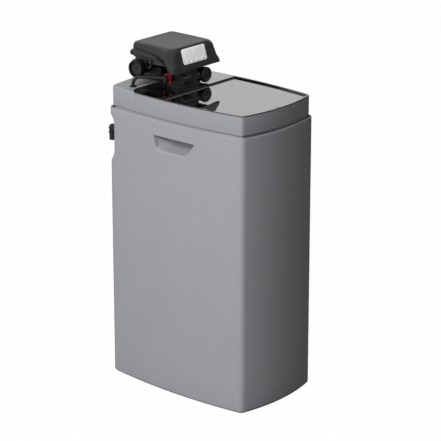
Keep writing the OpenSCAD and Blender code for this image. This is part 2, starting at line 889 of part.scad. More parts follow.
module valve_body() {
    color(matt_black) difference() {
        valve_solid();
        on_tank() {
            rod_z([0, 0, valve_floor - cut], neck_r + slack, neck_top + seal_t - valve_floor + cut);
            rod_z([0, 0, valve_floor], riser_r + slack, riser_top - valve_floor);
            rod_z([0, 0, valve_floor], riser_r - riser_wall, valve_rise);
            rod_z([0, 0, chamber_floor], chamber_r, chamber_h + cut);
        }
        bonnet_screw_places() rod_z([0, 0, valve_top - screw_hole], bonnet_screw_r, screw_hole + cut);
        rod_x([meter_x - cut, meter_y, meter_z], meter_bore, meter_depth + cut);
        rod_x([meter_x, meter_y, meter_z], axle_r, meter_depth + 6);
        for (s = [-1, 1])
            rod_y([s * spigot_x, manifold_y1 - 6, spigot_z], spigot_bore, spigot_end - manifold_y1 + 6 + cut);
        rod_y([injector_x, injector_y - cut, injector_z], injector_bore, injector_depth + cut);
        rod_x([-port_x - cut, tank_y, port_z], plug_r, plug_hole + cut);
        rod_x([drain_x - plug_hole, drain_y, drain_z], plug_r, plug_hole + cut);
    }
}

disc_r = chamber_r - 0.1;
port_hole_r = 7;
port_circle = 20;

module disc_ports(z) {
    for (a = [0, 120, 240]) rotate(a) rod_z([port_circle, 0, z - cut], port_hole_r, disc_t + 2 * cut);
}

module seat_disc() {
    color("#F0EFEA") on_tank() difference() {
        rod_z([0, 0, chamber_floor], disc_r, disc_t);
        disc_ports(chamber_floor);
        rod_z([0, 0, chamber_floor - cut], riser_r - riser_wall, disc_t + 2 * cut);
    }
}

rotor_z = chamber_floor + disc_t + slack;
hub_r = 12;
hub_t = 5;

module rotor_disc() {
    color("#F0EFEA") on_tank() difference() {
        rod_z([0, 0, rotor_z], disc_r - gap, disc_t);
        rotate(60) translate([port_circle, 0, 0]) rod_z([0, 0, rotor_z - cut], port_hole_r, disc_t + 2 * cut);
    }
}

bonnet_top = valve_top + bonnet_t;
bracket_z = bonnet_top + bracket_rise;
bracket_top = bracket_z + bracket_t;
gear_z = bracket_top + 4;

module drive_shaft() {
    base = rotor_z + disc_t;
    color(matt_black) on_tank() {
        rod_z([0, 0, base], hub_r, hub_t);
        rod_z([0, 0, base + hub_t - cut], shaft_r, gear_z + gear_t + 2 - base - hub_t + cut);
    }
}

module bonnet() {
    color(matt_black) difference() {
        on_tank() rod_z([0, 0, valve_top], valve_r, bonnet_t);
        on_tank() rod_z([0, 0, valve_top - cut], shaft_r + slack, bonnet_t + 2 * cut);
        bonnet_screw_places() rod_z([0, 0, valve_top - cut], bonnet_screw_r, bonnet_t + 2 * cut);
        bracket_posts() rod_z([0, 0, valve_top + cut], bracket_screw_r, bonnet_t);
    }
}

module bonnet_screws() {
    head_h = 3;
    color(steel) bonnet_screw_places() {
        rod_z([0, 0, valve_top - plug_l], bonnet_screw_r, bonnet_t + plug_l + cut);
        difference() {
            rod_z([0, 0, bonnet_top], bonnet_screw_r * screw_head, head_h);
            rod_z([0, 0, bonnet_top + 1], bonnet_screw_r, head_h, $fn = 6);
        }
    }
}

module meter_cap() {
    boss_r = 16;
    groove = 3;
    color(matt_black) translate([meter_x, meter_y, meter_z]) rotate([0, -90, 0]) difference() {
        union() {
            cylinder(r = meter_cap_r, h = meter_cap_t);
            translate([0, 0, -4]) cylinder(r = meter_bore - slack, h = 4 + cut);
        }
        translate([0, 0, meter_cap_t - groove]) difference() {
            cylinder(r = meter_cap_r - 4, h = groove + cut);
            translate([0, 0, -cut]) cylinder(r = boss_r, h = groove + 3 * cut);
        }
        translate([0, 0, -4 - cut]) cylinder(r = axle_r, h = 12 + cut);
        translate([0, 0, meter_cap_t - groove]) cylinder(r = 2, h = groove + cut);
    }
}

module meter_axle() {
    color(steel) rod_x([meter_x - 7, meter_y, meter_z], axle_r, meter_depth + 12);
}

module meter_turbine() {
    blades = 6;
    hub = 4;
    length = 16;
    color("#E6E6E2") translate([meter_x + 12, meter_y, meter_z]) rotate([0, 90, 0]) difference() {
        union() {
            cylinder(r = hub, h = length);
            for (i = [0:blades - 1]) rotate(360 * i / blades)
                translate([0, -0.8, 1]) cube([meter_bore - 1.5, 1.6, length - 2]);
        }
        translate([0, 0, -cut]) cylinder(r = axle_r + slack, h = length + 2 * cut);
    }
}

module injector_cap() {
    grips = 12;
    color(matt_black) translate([injector_x, injector_y, injector_z]) rotate([90, 0, 0]) difference() {
        union() {
            cylinder(r = injector_cap_r, h = injector_cap_t - 3);
            cylinder(r = injector_cap_r - 3, h = injector_cap_t);
            translate([0, 0, -6]) cylinder(r = injector_bore - slack, h = 6 + cut);
        }
        for (i = [0:grips - 1]) rotate(360 * i / grips)
            translate([injector_cap_r, 0, 2]) cylinder(r = 1.5, h = injector_cap_t);
    }
}

module injector_nozzle() {
    start = injector_y + 6;
    length = injector_depth - 6;
    color("#D9D3C4") difference() {
        rod_y([injector_x, start, injector_z], injector_bore - slack, length);
        rod_y([injector_x, start - cut, injector_z], injector_bore / 3, length + 2 * cut);
    }
}

collar_r = plug_r + 1.5;

module brine_elbow() {
    bore = tube_r - tube_wall;
    color(matt_black) difference() {
        union() {
            rod_x([elbow_x, tank_y, port_z], plug_r, -elbow_x - port_x + plug_l);
            rod_x([elbow_x - nose_l, tank_y, port_z], collar_r, nose_l - elbow_x - port_x - slack);
            translate(elbow_at) rotate(run_turn + 180) rod_x([0, 0, 0], tube_r + 2, nose_l + socket_l);
        }
        translate(elbow_at) rotate(run_turn + 180) {
            rod_x([nose_l, 0, 0], tube_r, socket_l + cut);
            rod_x([-bore, 0, 0], bore, nose_l + bore + cut);
        }
        rod_x([elbow_x, tank_y, port_z], bore - gap, -elbow_x);
    }
}

// A staple that straddles a port's elbow: a half ring with two legs
module staple(width, t, leg) {
    inner = collar_r + gap;
    outer = width / 2;
    rotate([90, 0, 90]) translate([0, 0, -t / 2]) linear_extrude(t) difference() {
        union() {
            circle(r = outer);
            translate([-outer, -leg]) square([2 * outer, leg]);
        }
        circle(r = inner);
        translate([-inner, -leg - cut]) square([2 * inner, leg + cut]);
    }
}

staple_w = 24;
staple_t = 7;
staple_leg = 15;

module brine_clip() {
    color(clip_red) translate([(elbow_x - port_x) / 2, tank_y, port_z])
        staple(staple_w, staple_t, staple_leg);
}

drain_elbow_x = drain_x + 20.5;
plug_l = 12;
drain_tail_r = 8;
drain_tail_l = 40;
drain_bore = 5;
hose_stop = 3;

module drain_elbow() {
    at = [drain_elbow_x, drain_y, drain_z];
    color(matt_black) difference() {
        union() {
            rod_x([drain_x - plug_l, drain_y, drain_z], plug_r, drain_elbow_x - drain_x + plug_l);
            rod_x([drain_x + slack, drain_y, drain_z], collar_r, drain_elbow_x - drain_x - slack);
            translate(at) sphere(r = collar_r + gap);
            rod_y(at, drain_tail_r, drain_tail_l);
            rod_y(at + [0, collar_r, 0], collar_r + 1.5, hose_stop);
        }
        rod_y(at, drain_bore, drain_tail_l + cut);
        rod_x([drain_x - plug_l - cut, drain_y, drain_z], drain_bore, drain_elbow_x - drain_x + plug_l + cut);
    }
}

module drain_clip() {
    color(clip_red) translate([drain_x + staple_t / 2 + cut, drain_y, drain_z])
        staple(staple_w, staple_t, staple_leg);
}

// Drive

gear_r = gear_m * gear_teeth / 2;
pinion_r = gear_m * pinion_teeth / 2;
gear_spread = gear_r + pinion_r + 0.25;
tooth_tip = 0.85;
tooth_root = 1.25;

// Gear outline with straight-sided teeth, a tooth centred on angle 0
function gear_points(teeth, m) =
    let (
        r = m * teeth / 2,
        pitch = 360 / teeth,
        half = pitch / 4 * 0.86,
        flank = atan(tan(20) * m / r)
    )
    [for (i = [0:teeth - 1], c = [
        [r - tooth_root * m, -half - tooth_root * flank],
        [r + tooth_tip * m, -half + tooth_tip * flank],
        [r + tooth_tip * m, half - tooth_tip * flank],
        [r - tooth_root * m, half + tooth_root * flank]
    ]) let (a = i * pitch + c[1]) c[0] * [cos(a), sin(a)]];

module drive_gear() {
    windows = 5;
    color("#E4E3DC") on_tank() difference() {
        translate([0, 0, gear_z]) linear_extrude(gear_t) polygon(gear_points(gear_teeth, gear_m));
        rod_z([0, 0, gear_z - cut], shaft_r, gear_t + 2 * cut);
        for (i = [0:windows - 1]) rotate(360 * i / windows)
            rod_z([gear_r * 0.6, 0, gear_z - cut], gear_r * 0.2, gear_t + 2 * cut);
    }
}

motor_at = [gear_spread, tank_y, 0];
motor_z = gear_z + gear_t + 5;
motor_shaft_r = 1.5;
ear_y = 23;
ear_t = 2.5;
ear_r = 5;
ear_screw_r = 1.5;

module motor_pinion() {
    color("#E4E3DC") translate(motor_at) difference() {
        union() {
            translate([0, 0, gear_z]) linear_extrude(gear_t) polygon(gear_points(pinion_teeth, gear_m));
            rod_z([0, 0, gear_z + gear_t - slack], pinion_r - 2.5, 3);
        }
        rod_z([0, 0, gear_z - cut], motor_shaft_r + slack, gear_t + 4 + 2 * cut);
    }
}

module drive_motor() {
    color(steel) translate(motor_at) {
        rod_z([0, 0, motor_z + ear_t], motor_r, motor_h);
        difference() {
            union() {
                rod_z([0, 0, motor_z], motor_r, ear_t + slack);
                for (s = [-1, 1]) rod_z([0, s * ear_y, motor_z], ear_r, ear_t);
                translate([-ear_r, -ear_y, motor_z]) cube([2 * ear_r, 2 * ear_y, ear_t]);
            }
            for (s = [-1, 1]) rod_z([0, s * ear_y, motor_z - cut], ear_screw_r, ear_t + 2 * cut);
        }
        rod_z([0, 0, gear_z + 0.5], motor_shaft_r, motor_z - gear_z);
    }
}

module motor_screws() {
    head_h = 2;
    color(steel) translate(motor_at) for (s = [-1, 1]) {
        rod_z([0, s * ear_y, motor_z - 9], ear_screw_r, 9 + ear_t + cut);
        rod_z([0, s * ear_y, motor_z + ear_t], 2 * ear_screw_r, head_h);
    }
}

bracket_front_y = tank_y - 32;
bracket_rear_y = hood_rear_y - 3;
bracket_front_w = hood_rear_w - 4;
rim_drop = 6;
hood_low_rear = bracket_top + 2;
seam_z = hood_low_rear - gap;
tongue_rise = 4;
bracket_screw_r = 1.5;
post_r = 4;
post_circle = screw_circle - screw_head * bonnet_screw_r - post_r - cut;
loop_y = tank_y + 45;
loop_w = 20;
loop_h = 23;
loop_bar = 4;
loop_t = 3.5;

module bracket_posts() {
    on_tank() for (a = [45, 135, 225, 315]) rotate(a) translate([post_circle, 0, 0]) children();
}

// Plan of the bracket moved in by d, with cut corners
module bracket_plan(d) {
    chamfer = 9;
    f = bracket_front_w - d;
    r = hood_rear_w - 0.5 - d;
    y0 = bracket_front_y + d;
    y1 = bracket_rear_y - d;
    polygon([
        [f - chamfer, y0], [f, y0 + chamfer], [r, y1 - chamfer], [r - chamfer, y1],
        [chamfer - r, y1], [-r, y1 - chamfer], [-f, y0 + chamfer], [chamfer - f, y0]
    ]);
}

module bracket_ring(outer, inner, z0, z1) {
    translate([0, 0, z0]) linear_extrude(z1 - z0) difference() {
        bracket_plan(outer);
        bracket_plan(inner);
    }
}

// U-shaped loop that the hood's catch hooks into, hanging from the right-hand rim
module latch_loop() {
    x = hood_rear_w - 1;
    top = seam_z - 1;
    turn = loop_w / 2;
    translate([x, loop_y, top - loop_h]) rotate([90, 0, 90]) linear_extrude(loop_t) difference() {
        union() {
            translate([0, turn]) circle(r = turn);
            translate([-turn, turn]) square([loop_w, loop_h - turn]);
        }
        translate([0, turn]) circle(r = turn - loop_bar);
        translate([loop_bar - turn, turn]) square([loop_w - 2 * loop_bar, loop_h - turn + cut]);
    }
}

module drive_bracket() {
    tongue = hood_wall + 0.6;
    color(matt_black) difference() {
        union() {
            translate([0, 0, bracket_z]) linear_extrude(bracket_t) bracket_plan(cut);
            bracket_ring(0, 5, bracket_z - rim_drop, seam_z);
            intersection() {
                bracket_ring(tongue, 5, seam_z - cut, seam_z + tongue_rise);
                stretch(sweep_y1, cabinet_d);
            }
            latch_loop();
            mirror([1, 0, 0]) latch_loop();
            bracket_posts() rod_z([0, 0, bonnet_top], post_r, bracket_rise + cut);
            translate(motor_at) for (s = [-1, 1])
                rod_z([0, s * ear_y, bracket_z + cut], post_r, motor_z - bracket_z - cut);
        }
        on_tank() rod_z([0, 0, bracket_z - cut], shaft_r + 3, bracket_t + 2 * cut);
        bracket_posts() rod_z([0, 0, bonnet_top - cut], bracket_screw_r, bracket_rise + bracket_t + 2 * cut);
        translate(motor_at) for (s = [-1, 1]) rod_z([0, s * ear_y, motor_z - 11], ear_screw_r, 11 + cut);
        rod_y([socket_x, socket_y0 - cut, socket_z], socket_r + cut, socket_y1 - socket_y0);
    }
}

module bracket_screws() {
    head_h = 2;
    color(steel) bracket_posts() {
        rod_z([0, 0, bonnet_top - 6], bracket_screw_r, bracket_rise + bracket_t + 6 + cut);
        rod_z([0, 0, bracket_top], 2 * bracket_screw_r, head_h);
    }
}

// Hood and display

hood_low_front = deck_z + hood_front_rise;
hood_top = deck_z + hood_rise;
sweep_y0 = hood_front_y + 5;
sweep_y1 = hood_front_y + 50;
function blend(t) = let (u = min(max(t, 0), 1)) u * u * (3 - 2 * u);
function low_edge(y) =
    hood_low_front + (hood_low_rear - hood_low_front) * blend((y - sweep_y0) / (sweep_y1 - sweep_y0));
function face_y(z) = hood_front_y + (z - hood_low_front) * tan(display_lean);

// Points along the hood's right side from y a towards y b, flared towards its front corner at y0
flare_reach = 60;
function side_points(front_w, rear_w, y0, a, b, n) =
    [for (i = [0:n - 1]) let (y = a + (b - a) * i / n)
        [rear_w + (front_w - rear_w) * (1 - blend((y - y0) / flare_reach)), y]];
// Evenly spaced points from a towards b, without b
function line_points(a, b, n) = [for (i = [0:n - 1]) a + (b - a) * i / n];

// Round-cornered four-sided plan, anticlockwise from the front right corner
function hood_plan(front_w, rear_w, y0, y1, r) =
    let (
        fr = [front_w - r, y0 + r],
        rr = [rear_w - r, y1 - r],
        n = 5
    )
    concat(
        arc(fr, r, -90, 0, n),
        side_points(front_w, rear_w, y0 + r, y0 + r, y1 - r, 12),
        arc(rr, r, 0, 90, n),
        line_points([rear_w - r, y1], [r - rear_w, y1], 4),
        arc(flip(rr), r, 90, 180, n),
        [for (p = side_points(front_w, rear_w, y0 + r, y1 - r, y0 + r, 12)) flip(p)],
        arc(flip(fr), r, 180, 270, n),
        line_points([r - front_w, y0], [front_w - r, y0], 4)
    );

// Each level: share of the way up from the lower edge to its height, height below the top,
// front and rear half widths, how far its rear lies in, and its corner radius
waist = 28;
hood_levels = [
    [0, waist, hood_front_w, hood_rear_w, 1, 6],
    [0.28, waist, hood_front_w - 0.5, hood_rear_w - 0.2, 0.6, 6.5],
    [0.55, waist, hood_front_w - 10, hood_rear_w - 0.5, 0.3, 9],
    [1, waist, hood_front_w - 14.5, hood_rear_w - 1, 0, 12],
    [1, 14, hood_front_w - 15.5, hood_rear_w - 2, 0, 14],
    [1, 6, hood_front_w - 19, hood_rear_w - 4.5, 1, 14],
    [1, 1.5, hood_front_w - 27, hood_rear_w - 10, 4, 13],
    [1, 0, hood_front_w - 43, hood_rear_w - 24, 18, 12]
];
top_setback = [0, 0, 0, 0, 0, 0, 2, 20];

// One ring of the hood's skin moved in by w; the lowest ring also moves down by d
function hood_ring(i, w, d) =
    let (
        k = hood_levels[i],
        z = hood_top - k[1] - (k[0] == 1 ? w : 0),
        front_z = (1 - k[0]) * hood_low_front + k[0] * z,
        y0 = face_y(front_z) + top_setback[i] + w / cos(display_lean),
        plan = hood_plan(k[2] - w, k[3] - w, y0, hood_rear_y - k[4] - w, k[5])
    )
    [for (p = plan) [p[0], p[1], (1 - k[0]) * low_edge(p[1]) + k[0] * z - (k[0] == 0 ? d : 0)]];

module hood_skin(w, d) {
    loft([for (i = [0:len(hood_levels) - 1]) hood_ring(i, w, d)]);
}

display_z = hood_top - 27;

// The display's own frame: X across, Y up the face, Z out of it
module on_display() {
    translate([0, face_y(display_z), display_z]) rotate([90 - display_lean, 0, 0]) children();
}

// Round-cornered plate centred on the display
module window_plate(w, h, r, z0, z1) {
    translate([0, 0, z0]) linear_extrude(z1 - z0) {
        square([w - 2 * r, h], center = true);
        square([w, h - 2 * r], center = true);
        for (x = [-1, 1], y = [-1, 1]) translate([x * (w / 2 - r), y * (h / 2 - r)]) circle(r = r);
    }
}

board_z = -10;
board_t = 1.6;
board_w = display_w + 18;
board_h = 34;
board_post_x = display_w / 2 + 5;
board_post_y = 11;
board_post_r = 3;
socket_x = -66;
socket_z = deck_z + 80;
socket_r = 8;
socket_y0 = hood_rear_y - 10;
socket_y1 = hood_rear_y + 14;
jack_r = 2.75;

module hood() {
    color(matt_black) {
        difference() {
            hood_skin(0, 0);
            hood_skin(hood_wall, 4);
            on_display() window_plate(display_w, display_h, display_r, -8, 8);
            rod_y([socket_x, hood_rear_y - 14, socket_z], socket_r + slack, 28);
        }
        on_display() for (x = [-1, 1], y = [-1, 1]) {
            translate([x * board_post_x, y * board_post_y, board_z])
                cylinder(r = board_post_r, h = -board_z - hood_wall + 0.6);
        }
    }
}

key_pitch = 19;
key_row = -display_h / 2 + 6;
key_head = 0.8;
lens_gap = 0.15;

module display_lens() {
    color("#C6CACC") on_display() difference() {
        window_plate(display_w - 2 * lens_gap, display_h - 2 * lens_gap, display_r - lens_gap, -lens_t, 0);
        for (i = [0:3]) translate([(i - 1.5) * key_pitch, key_row, 0])
            cube([key_w + 2 * gap, key_h + 2 * gap, 3 * lens_t], center = true);
    }
}

lcd_w = 80;
lcd_h = 22;
lcd_y = 6;

module lcd_panel() {
    depth = -lens_t - board_z;
    color("#AEB8B2") on_display() translate([-lcd_w / 2, lcd_y - lcd_h / 2, -lens_t - depth])
        cube([lcd_w, lcd_h, depth]);
}

switch_h = 3;

module control_board() {
    color("#1F5A3A") on_display() {
        translate([-board_w / 2, -board_h / 2, board_z - board_t]) cube([board_w, board_h, board_t]);
        for (i = [0:3]) translate([(i - 1.5) * key_pitch, key_row, board_z - slack])
            cylinder(r = 2.5, h = switch_h + slack);
    }
}

// A key: a head in the lens and a stem that ends over its switch
module key(i) {
    stem_r = 2;
    flange_z = -lens_t - gap - 1;
    stem_end = board_z + switch_h + gap + key_travel;
    color("#3A3C3F") on_display() translate([(i - 1.5) * key_pitch, key_row, 0]) {
        translate([-key_w / 2, -key_h / 2, flange_z]) cube([key_w, key_h, key_head - flange_z]);
        translate([0, 0, stem_end]) cylinder(r = stem_r, h = flange_z - stem_end + slack);
    }
}

module mode_button() {
    key(0);
}
module set_button() {
    key(1);
}
module up_button() {
    key(2);
}
module down_button() {
    key(3);
}

module power_socket() {
    color(matt_black) difference() {
        rod_y([socket_x, socket_y0, socket_z], socket_r, socket_y1 - socket_y0);
        rod_y([socket_x, socket_y0 + 5, socket_z], jack_r, socket_y1 - socket_y0);
    }
}

// Overflow

overflow_at = [overflow_x, overflow_y, overflow_z];
overflow_tail_r = overflow_r - 1.2;
washer_t = 2;
flange_t = 3;
nut_t = 5;
nut_r = 12;

module overflow_elbow() {
    inside = recess_floor - cabinet_wall - nut_t - 4;
    seat = recess_floor + washer_t;
    color(matt_black) difference() {
        union() {
            rod_y([overflow_x, inside, overflow_z], overflow_stub_r, overflow_y - inside);
            rod_y([overflow_x, seat, overflow_z], overflow_stub_r + 4, flange_t);
            translate(overflow_at) sphere(r = overflow_r);
            rod_z(overflow_at - [0, 0, overflow_leg], overflow_tail_r, overflow_leg);
            rod_z(overflow_at - [0, 0, overflow_r + hose_stop], overflow_r + 0.9, hose_stop);
        }
        rod_y([overflow_x, inside - cut, overflow_z], overflow_bore, overflow_y - inside + cut);
        rod_z(overflow_at - [0, 0, overflow_leg + cut], overflow_bore, overflow_leg + cut);
    }
}

module overflow_grommet() {
    color("#17181A") difference() {
        rod_y([overflow_x, recess_floor, overflow_z], overflow_stub_r + 4, washer_t);
        rod_y([overflow_x, recess_floor - cut, overflow_z], overflow_stub_r, washer_t + 2 * cut);
    }
}

module overflow_nut() {
    back = recess_floor - cabinet_wall;
    color(matt_black) difference() {
        translate([overflow_x, back, overflow_z]) rotate([90, 0, 0]) cylinder(r = nut_r, h = nut_t, $fn = 6);
        rod_y([overflow_x, back - nut_t - cut, overflow_z], overflow_stub_r, nut_t + 2 * cut);
    }
}

cabinet_shell();
collar();
deck_frame();
salt_lid();
lid_pins();
resin_tank();
tank_boot();
resin_bed();
riser_tube();
lower_strainer();
upper_strainer();
neck_seal();
salt_grid();
brine_well();
well_cap();
brine_tube();
tube_grommet();
brine_float();
float_stops();
air_check();
valve_body();
seat_disc();
rotor_disc();
drive_shaft();
bonnet();
bonnet_screws();
meter_cap();
meter_axle();
meter_turbine();
injector_cap();
injector_nozzle();
brine_elbow();
brine_clip();
drain_elbow();
drain_clip();
drive_bracket();
bracket_screws();
drive_gear();
motor_pinion();
drive_motor();
motor_screws();
hood();
display_lens();
lcd_panel();
control_board();
power_socket();
mode_button();
set_button();
up_button();
down_button();
overflow_elbow();
overflow_grommet();
overflow_nut();
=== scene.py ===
"""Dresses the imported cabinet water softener: its moulded skins, finishes, camera and studio."""

import json
import logging
import math
from collections.abc import Iterator, Sequence
from contextlib import contextmanager
from dataclasses import dataclass, field
from enum import Enum

import bmesh
import bpy
from mathutils import Matrix, Vector


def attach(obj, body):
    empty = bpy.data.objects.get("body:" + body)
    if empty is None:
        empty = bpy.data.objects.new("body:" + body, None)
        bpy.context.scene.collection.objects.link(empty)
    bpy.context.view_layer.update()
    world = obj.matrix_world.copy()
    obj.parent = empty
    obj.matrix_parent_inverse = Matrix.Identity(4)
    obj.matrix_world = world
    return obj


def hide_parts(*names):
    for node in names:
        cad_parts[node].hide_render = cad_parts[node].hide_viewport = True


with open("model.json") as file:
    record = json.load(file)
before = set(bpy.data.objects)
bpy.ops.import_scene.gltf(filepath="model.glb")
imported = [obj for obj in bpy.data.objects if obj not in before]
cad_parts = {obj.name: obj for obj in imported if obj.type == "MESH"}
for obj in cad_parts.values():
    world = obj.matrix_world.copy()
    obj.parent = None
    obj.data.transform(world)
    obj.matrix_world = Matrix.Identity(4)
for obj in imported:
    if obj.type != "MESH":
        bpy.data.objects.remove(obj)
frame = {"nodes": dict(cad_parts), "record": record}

LOG = logging.getLogger("softener")
MM = 0.001
WELD = 0.002 * MM
# Trim, caps and keys shade smooth across edges up to this many degrees
TRIM_ANGLE = 40.0
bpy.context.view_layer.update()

Point = tuple[float, float, float]
Ring = list[Point]
Row = tuple[float, float, float]


class Body(Enum):
    """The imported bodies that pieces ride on."""

    CABINET = "cabinet"
    LID = "lid"
    HOOD = "hood_set"
    MODE = "mode_button_body"
    SET = "set_button_body"
    UP = "up_button_body"
    DOWN = "down_button_body"


class Axis(Enum):
    """Directions of turned pieces, as the turn that brings +Z onto them."""

    Y = (-math.pi / 2, 0.0, 0.0)
    Z = (0.0, 0.0, 0.0)
    MINUS_X = (0.0, -math.pi / 2, 0.0)
    MINUS_Y = (math.pi / 2, 0.0, 0.0)


# Finishes


def linear(code: str) -> tuple[float, float, float, float]:
    """Turns an sRGB hex colour into linear RGBA.

    Args:
        code: Six hex digits.

    Returns:
        The linear colour with full alpha.
    """
    values = [int(code[i:i + 2], 16) / 255 for i in (0, 2, 4)]
    return tuple(v / 12.92 if v <= 0.04045 else ((v + 0.055) / 1.055) ** 2.4 for v in values) + (1.0,)


def add_node(tree: bpy.types.NodeTree, kind: str, settings: dict | None = None,
             links: dict | None = None) -> bpy.types.Node:
    """Adds one node with its settings and incoming links.

    Args:
        tree: The material's node tree.
        kind: Node type without the ShaderNode prefix.
        settings: Socket values by socket name, or node properties by attribute name.
        links: Source sockets by the name of the socket they feed.

    Returns:
        The new node.
    """
    node = tree.nodes.new("ShaderNode" + kind)
    for name, value in (settings or {}).items():
        if isinstance(name, int) or name in node.inputs:
            node.inputs[name].default_value = value
        else:
            setattr(node, name, value)
    for name, socket in (links or {}).items():
        tree.links.new(socket, node.inputs[name])
    return node


def per_mm(size: float) -> float:
    """Pattern scale for a feature of this size in millimetres, on coordinates in metres."""
    return 1.0 / (size * MM)


@dataclass(frozen=True)
class Finish:
    """One material with a moulded, drawn or lapped surface, and painted light where it glows.

    The tone drifts slowly between two colours, the gloss is uneven, and a fine grain stands in relief.
    """

    name: str
    dark: str
    light: str
    roughness: float = 0.5
    gloss_drift: float = 0.08
    drift_mm: float = 60.0
    grain_mm: float = 1.4
    grain_height_mm: float = 0.04
    metallic: float = 0.0
    ior: float = 1.5
    coat: float = 0.0
    coat_roughness: float = 0.03
    stretch: tuple[float, float, float] = (1.0, 1.0, 1.0)
    # Emission: painted light that makes a part glow beyond what the lamp gives
    glow: float = 0.0

    def material(self) -> bpy.types.Material:
        """Builds the node material once and returns it.

        Returns:
            The material, the same one on every call.
        """
        made = bpy.data.materials.get(self.name)
        if made:
            return made
        made = bpy.data.materials.new(self.name)
        made.use_nodes = True
        tree = made.node_tree
        shader = tree.nodes["Principled BSDF"]
        for socket, value in (("Metallic", self.metallic), ("IOR", self.ior), ("Coat Weight", self.coat),
                              ("Coat Roughness", self.coat_roughness), ("Emission Strength", self.glow)):
            shader.inputs[socket].default_value = value
        place = add_node(tree, "TexCoord").outputs["Object"]
        drawn = add_node(tree, "Mapping", {"Scale": self.stretch}, {"Vector": place}).outputs["Vector"]
        drift = add_node(tree, "TexNoise", {"Scale": per_mm(self.drift_mm), "Detail": 3.0}, {"Vector": drawn})
        grain = add_node(tree, "TexNoise", {"Scale": per_mm(self.grain_mm), "Detail": 2.0}, {"Vector": drawn})
        tone = add_node(tree, "Mix", {"data_type": "RGBA", 6: linear(self.dark), 7: linear(self.light)},
                        {0: drift.outputs["Fac"]})
        for socket in ("Base Color", "Emission Color"):
            tree.links.new(tone.outputs[2], shader.inputs[socket])
        gloss = add_node(tree, "MapRange", {"To Min": max(self.roughness - self.gloss_drift, 0.0),
                                            "To Max": self.roughness + self.gloss_drift},
                         {"Value": grain.outputs["Fac"]})
        tree.links.new(gloss.outputs["Result"], shader.inputs["Roughness"])
        relief = add_node(tree, "Bump", {"Strength": 1.0, "Distance": self.grain_height_mm * MM},
                          {"Height": grain.outputs["Fac"]})
        tree.links.new(relief.outputs["Normal"], shader.inputs["Normal"])
        return made


# Moulded grains are really 0.1 to 0.3 mm and are drawn at about a millimetre, so that they show
# Spark-eroded ABS: a satin grey skin with a barely visible even grain
CABINET_ABS = Finish("cabinet grey ABS, moulded", "9A9CA0", "9FA1A5", 0.46, 0.06, 90.0, 1.6, 0.03)
COLLAR_ABS = Finish("collar grey ABS, moulded", "989A9E", "9D9FA3", 0.48, 0.06, 90.0, 1.6, 0.03)
# Polished black ABS under a clear coat: deep black, mirror-like, with a faint ripple of the mould
PIANO_BLACK = Finish("deck black ABS, polished and lacquered", "060607", "0A0A0B", 0.05, 0.02, 45.0, 14.0, 0.004,
                     ior=1.62, coat=1.0, coat_roughness=0.01)
# Glass-filled nylon of the valve: a coarse dry grain; its deep black is partly the nylon's own and partly painted
# shade from the hood above
VALVE_NYLON_SHADED = Finish("valve black glass-filled nylon, darkened by painted shade", "060607", "0C0C0D", 0.44, 0.1, 25.0, 1.2, 0.05)
# Fine-grained black ABS of the hood: satin, so that it goes pale where the room glances off it
HOOD_ABS = Finish("hood black ABS, fine grained", "09090A", "0D0D0E", 0.34, 0.05, 40.0, 1.3, 0.02, ior=1.56)
# Zinc plate on cold-headed steel: bright blue grey with a soft, uneven shine
ZINC_STEEL = Finish("zinc plated steel", "9DA1A6", "C4C8CC", 0.3, 0.1, 6.0, 0.9, 0.01, metallic=1.0)
# Filament-wound glass fibre: a blue gel coat with faint bands of the winding round it
WOUND_GLASS = Finish("wound glass fibre in blue gel coat", "22344A", "33485F", 0.35, 0.1, 12.0, 3.0, 0.1,
                     stretch=(1.0, 1.0, 9.0))
# Amber resin beads: a grainy bulk, with the 0.6 mm beads drawn at 0.9 mm so that they show
RESIN_BEADS = Finish("ion exchange resin beads", "5E3512", "A56A2C", 0.4, 0.15, 2.0, 0.9, 0.4)
# Unpigmented polypropylene: milky off-white and waxy
NATURAL_PP = Finish("natural polypropylene, moulded", "CFCFC8", "DEDED8", 0.42, 0.08, 30.0, 1.5, 0.03)
# Pressed rubber: dull black that hardly shines
EPDM = Finish("black EPDM rubber", "0D0D0D", "171717", 0.72, 0.08, 9.0, 0.8, 0.03)
# Lapped alumina: near white with an even, glassy shine
CERAMIC = Finish("lapped alumina ceramic", "E6E4DE", "F2F0EA", 0.12, 0.04, 8.0, 0.7, 0.004)
# Extruded polyethylene: black with one soft line of shine along it
TUBE_PE = Finish("brine tube polyethylene, extruded", "0C0D0E", "141517", 0.3, 0.06, 12.0, 2.2, 0.01)
# Moulded acetal: a clean deep red, half gloss
CLIP_RED = Finish("clip red acetal, moulded", "860A18", "980E1D", 0.34, 0.06, 10.0, 1.1, 0.02)
# Natural acetal of the gears: ivory and slick
ACETAL = Finish("gear acetal, moulded", "DAD9D0", "E8E7DF", 0.36, 0.08, 14.0, 1.0, 0.02)
# Window over a pale mask: it glows a little on its own, which is painted light that brightens its shaded face
WINDOW_PMMA = Finish("window acrylic over a pale mask, glowing with painted light", "D6D8D8", "E2E4E4", 0.16, 0.04, 22.0, 6.0, 0.002,
                     coat=1.0, glow=0.37)
# Cell glass: grey green and mirror flat
LCD_GLASS = Finish("liquid crystal glass", "8E9692", "9CA4A0", 0.1, 0.02, 20.0, 5.0, 0.001)
# Solder mask over woven glass: dark green with a fine relief
BOARD_FR4 = Finish("circuit board, green solder mask", "0E3B22", "1C5A36", 0.3, 0.1, 3.0, 1.2, 0.05)
# Pale, soft silicone keys: their faint glow is painted light
KEY_SILICONE = Finish("key silicone rubber, pale, glowing with painted light", "CFD1D1", "DADCDC", 0.5, 0.06, 8.0, 0.8, 0.02,
                      glow=0.4)
# Inlaid mark: flat dark grey
MARK_INK = Finish("key mark, inlaid dark grey", "3A3C3E", "48494B", 0.5, 0.05, 3.0, 0.5, 0.005)
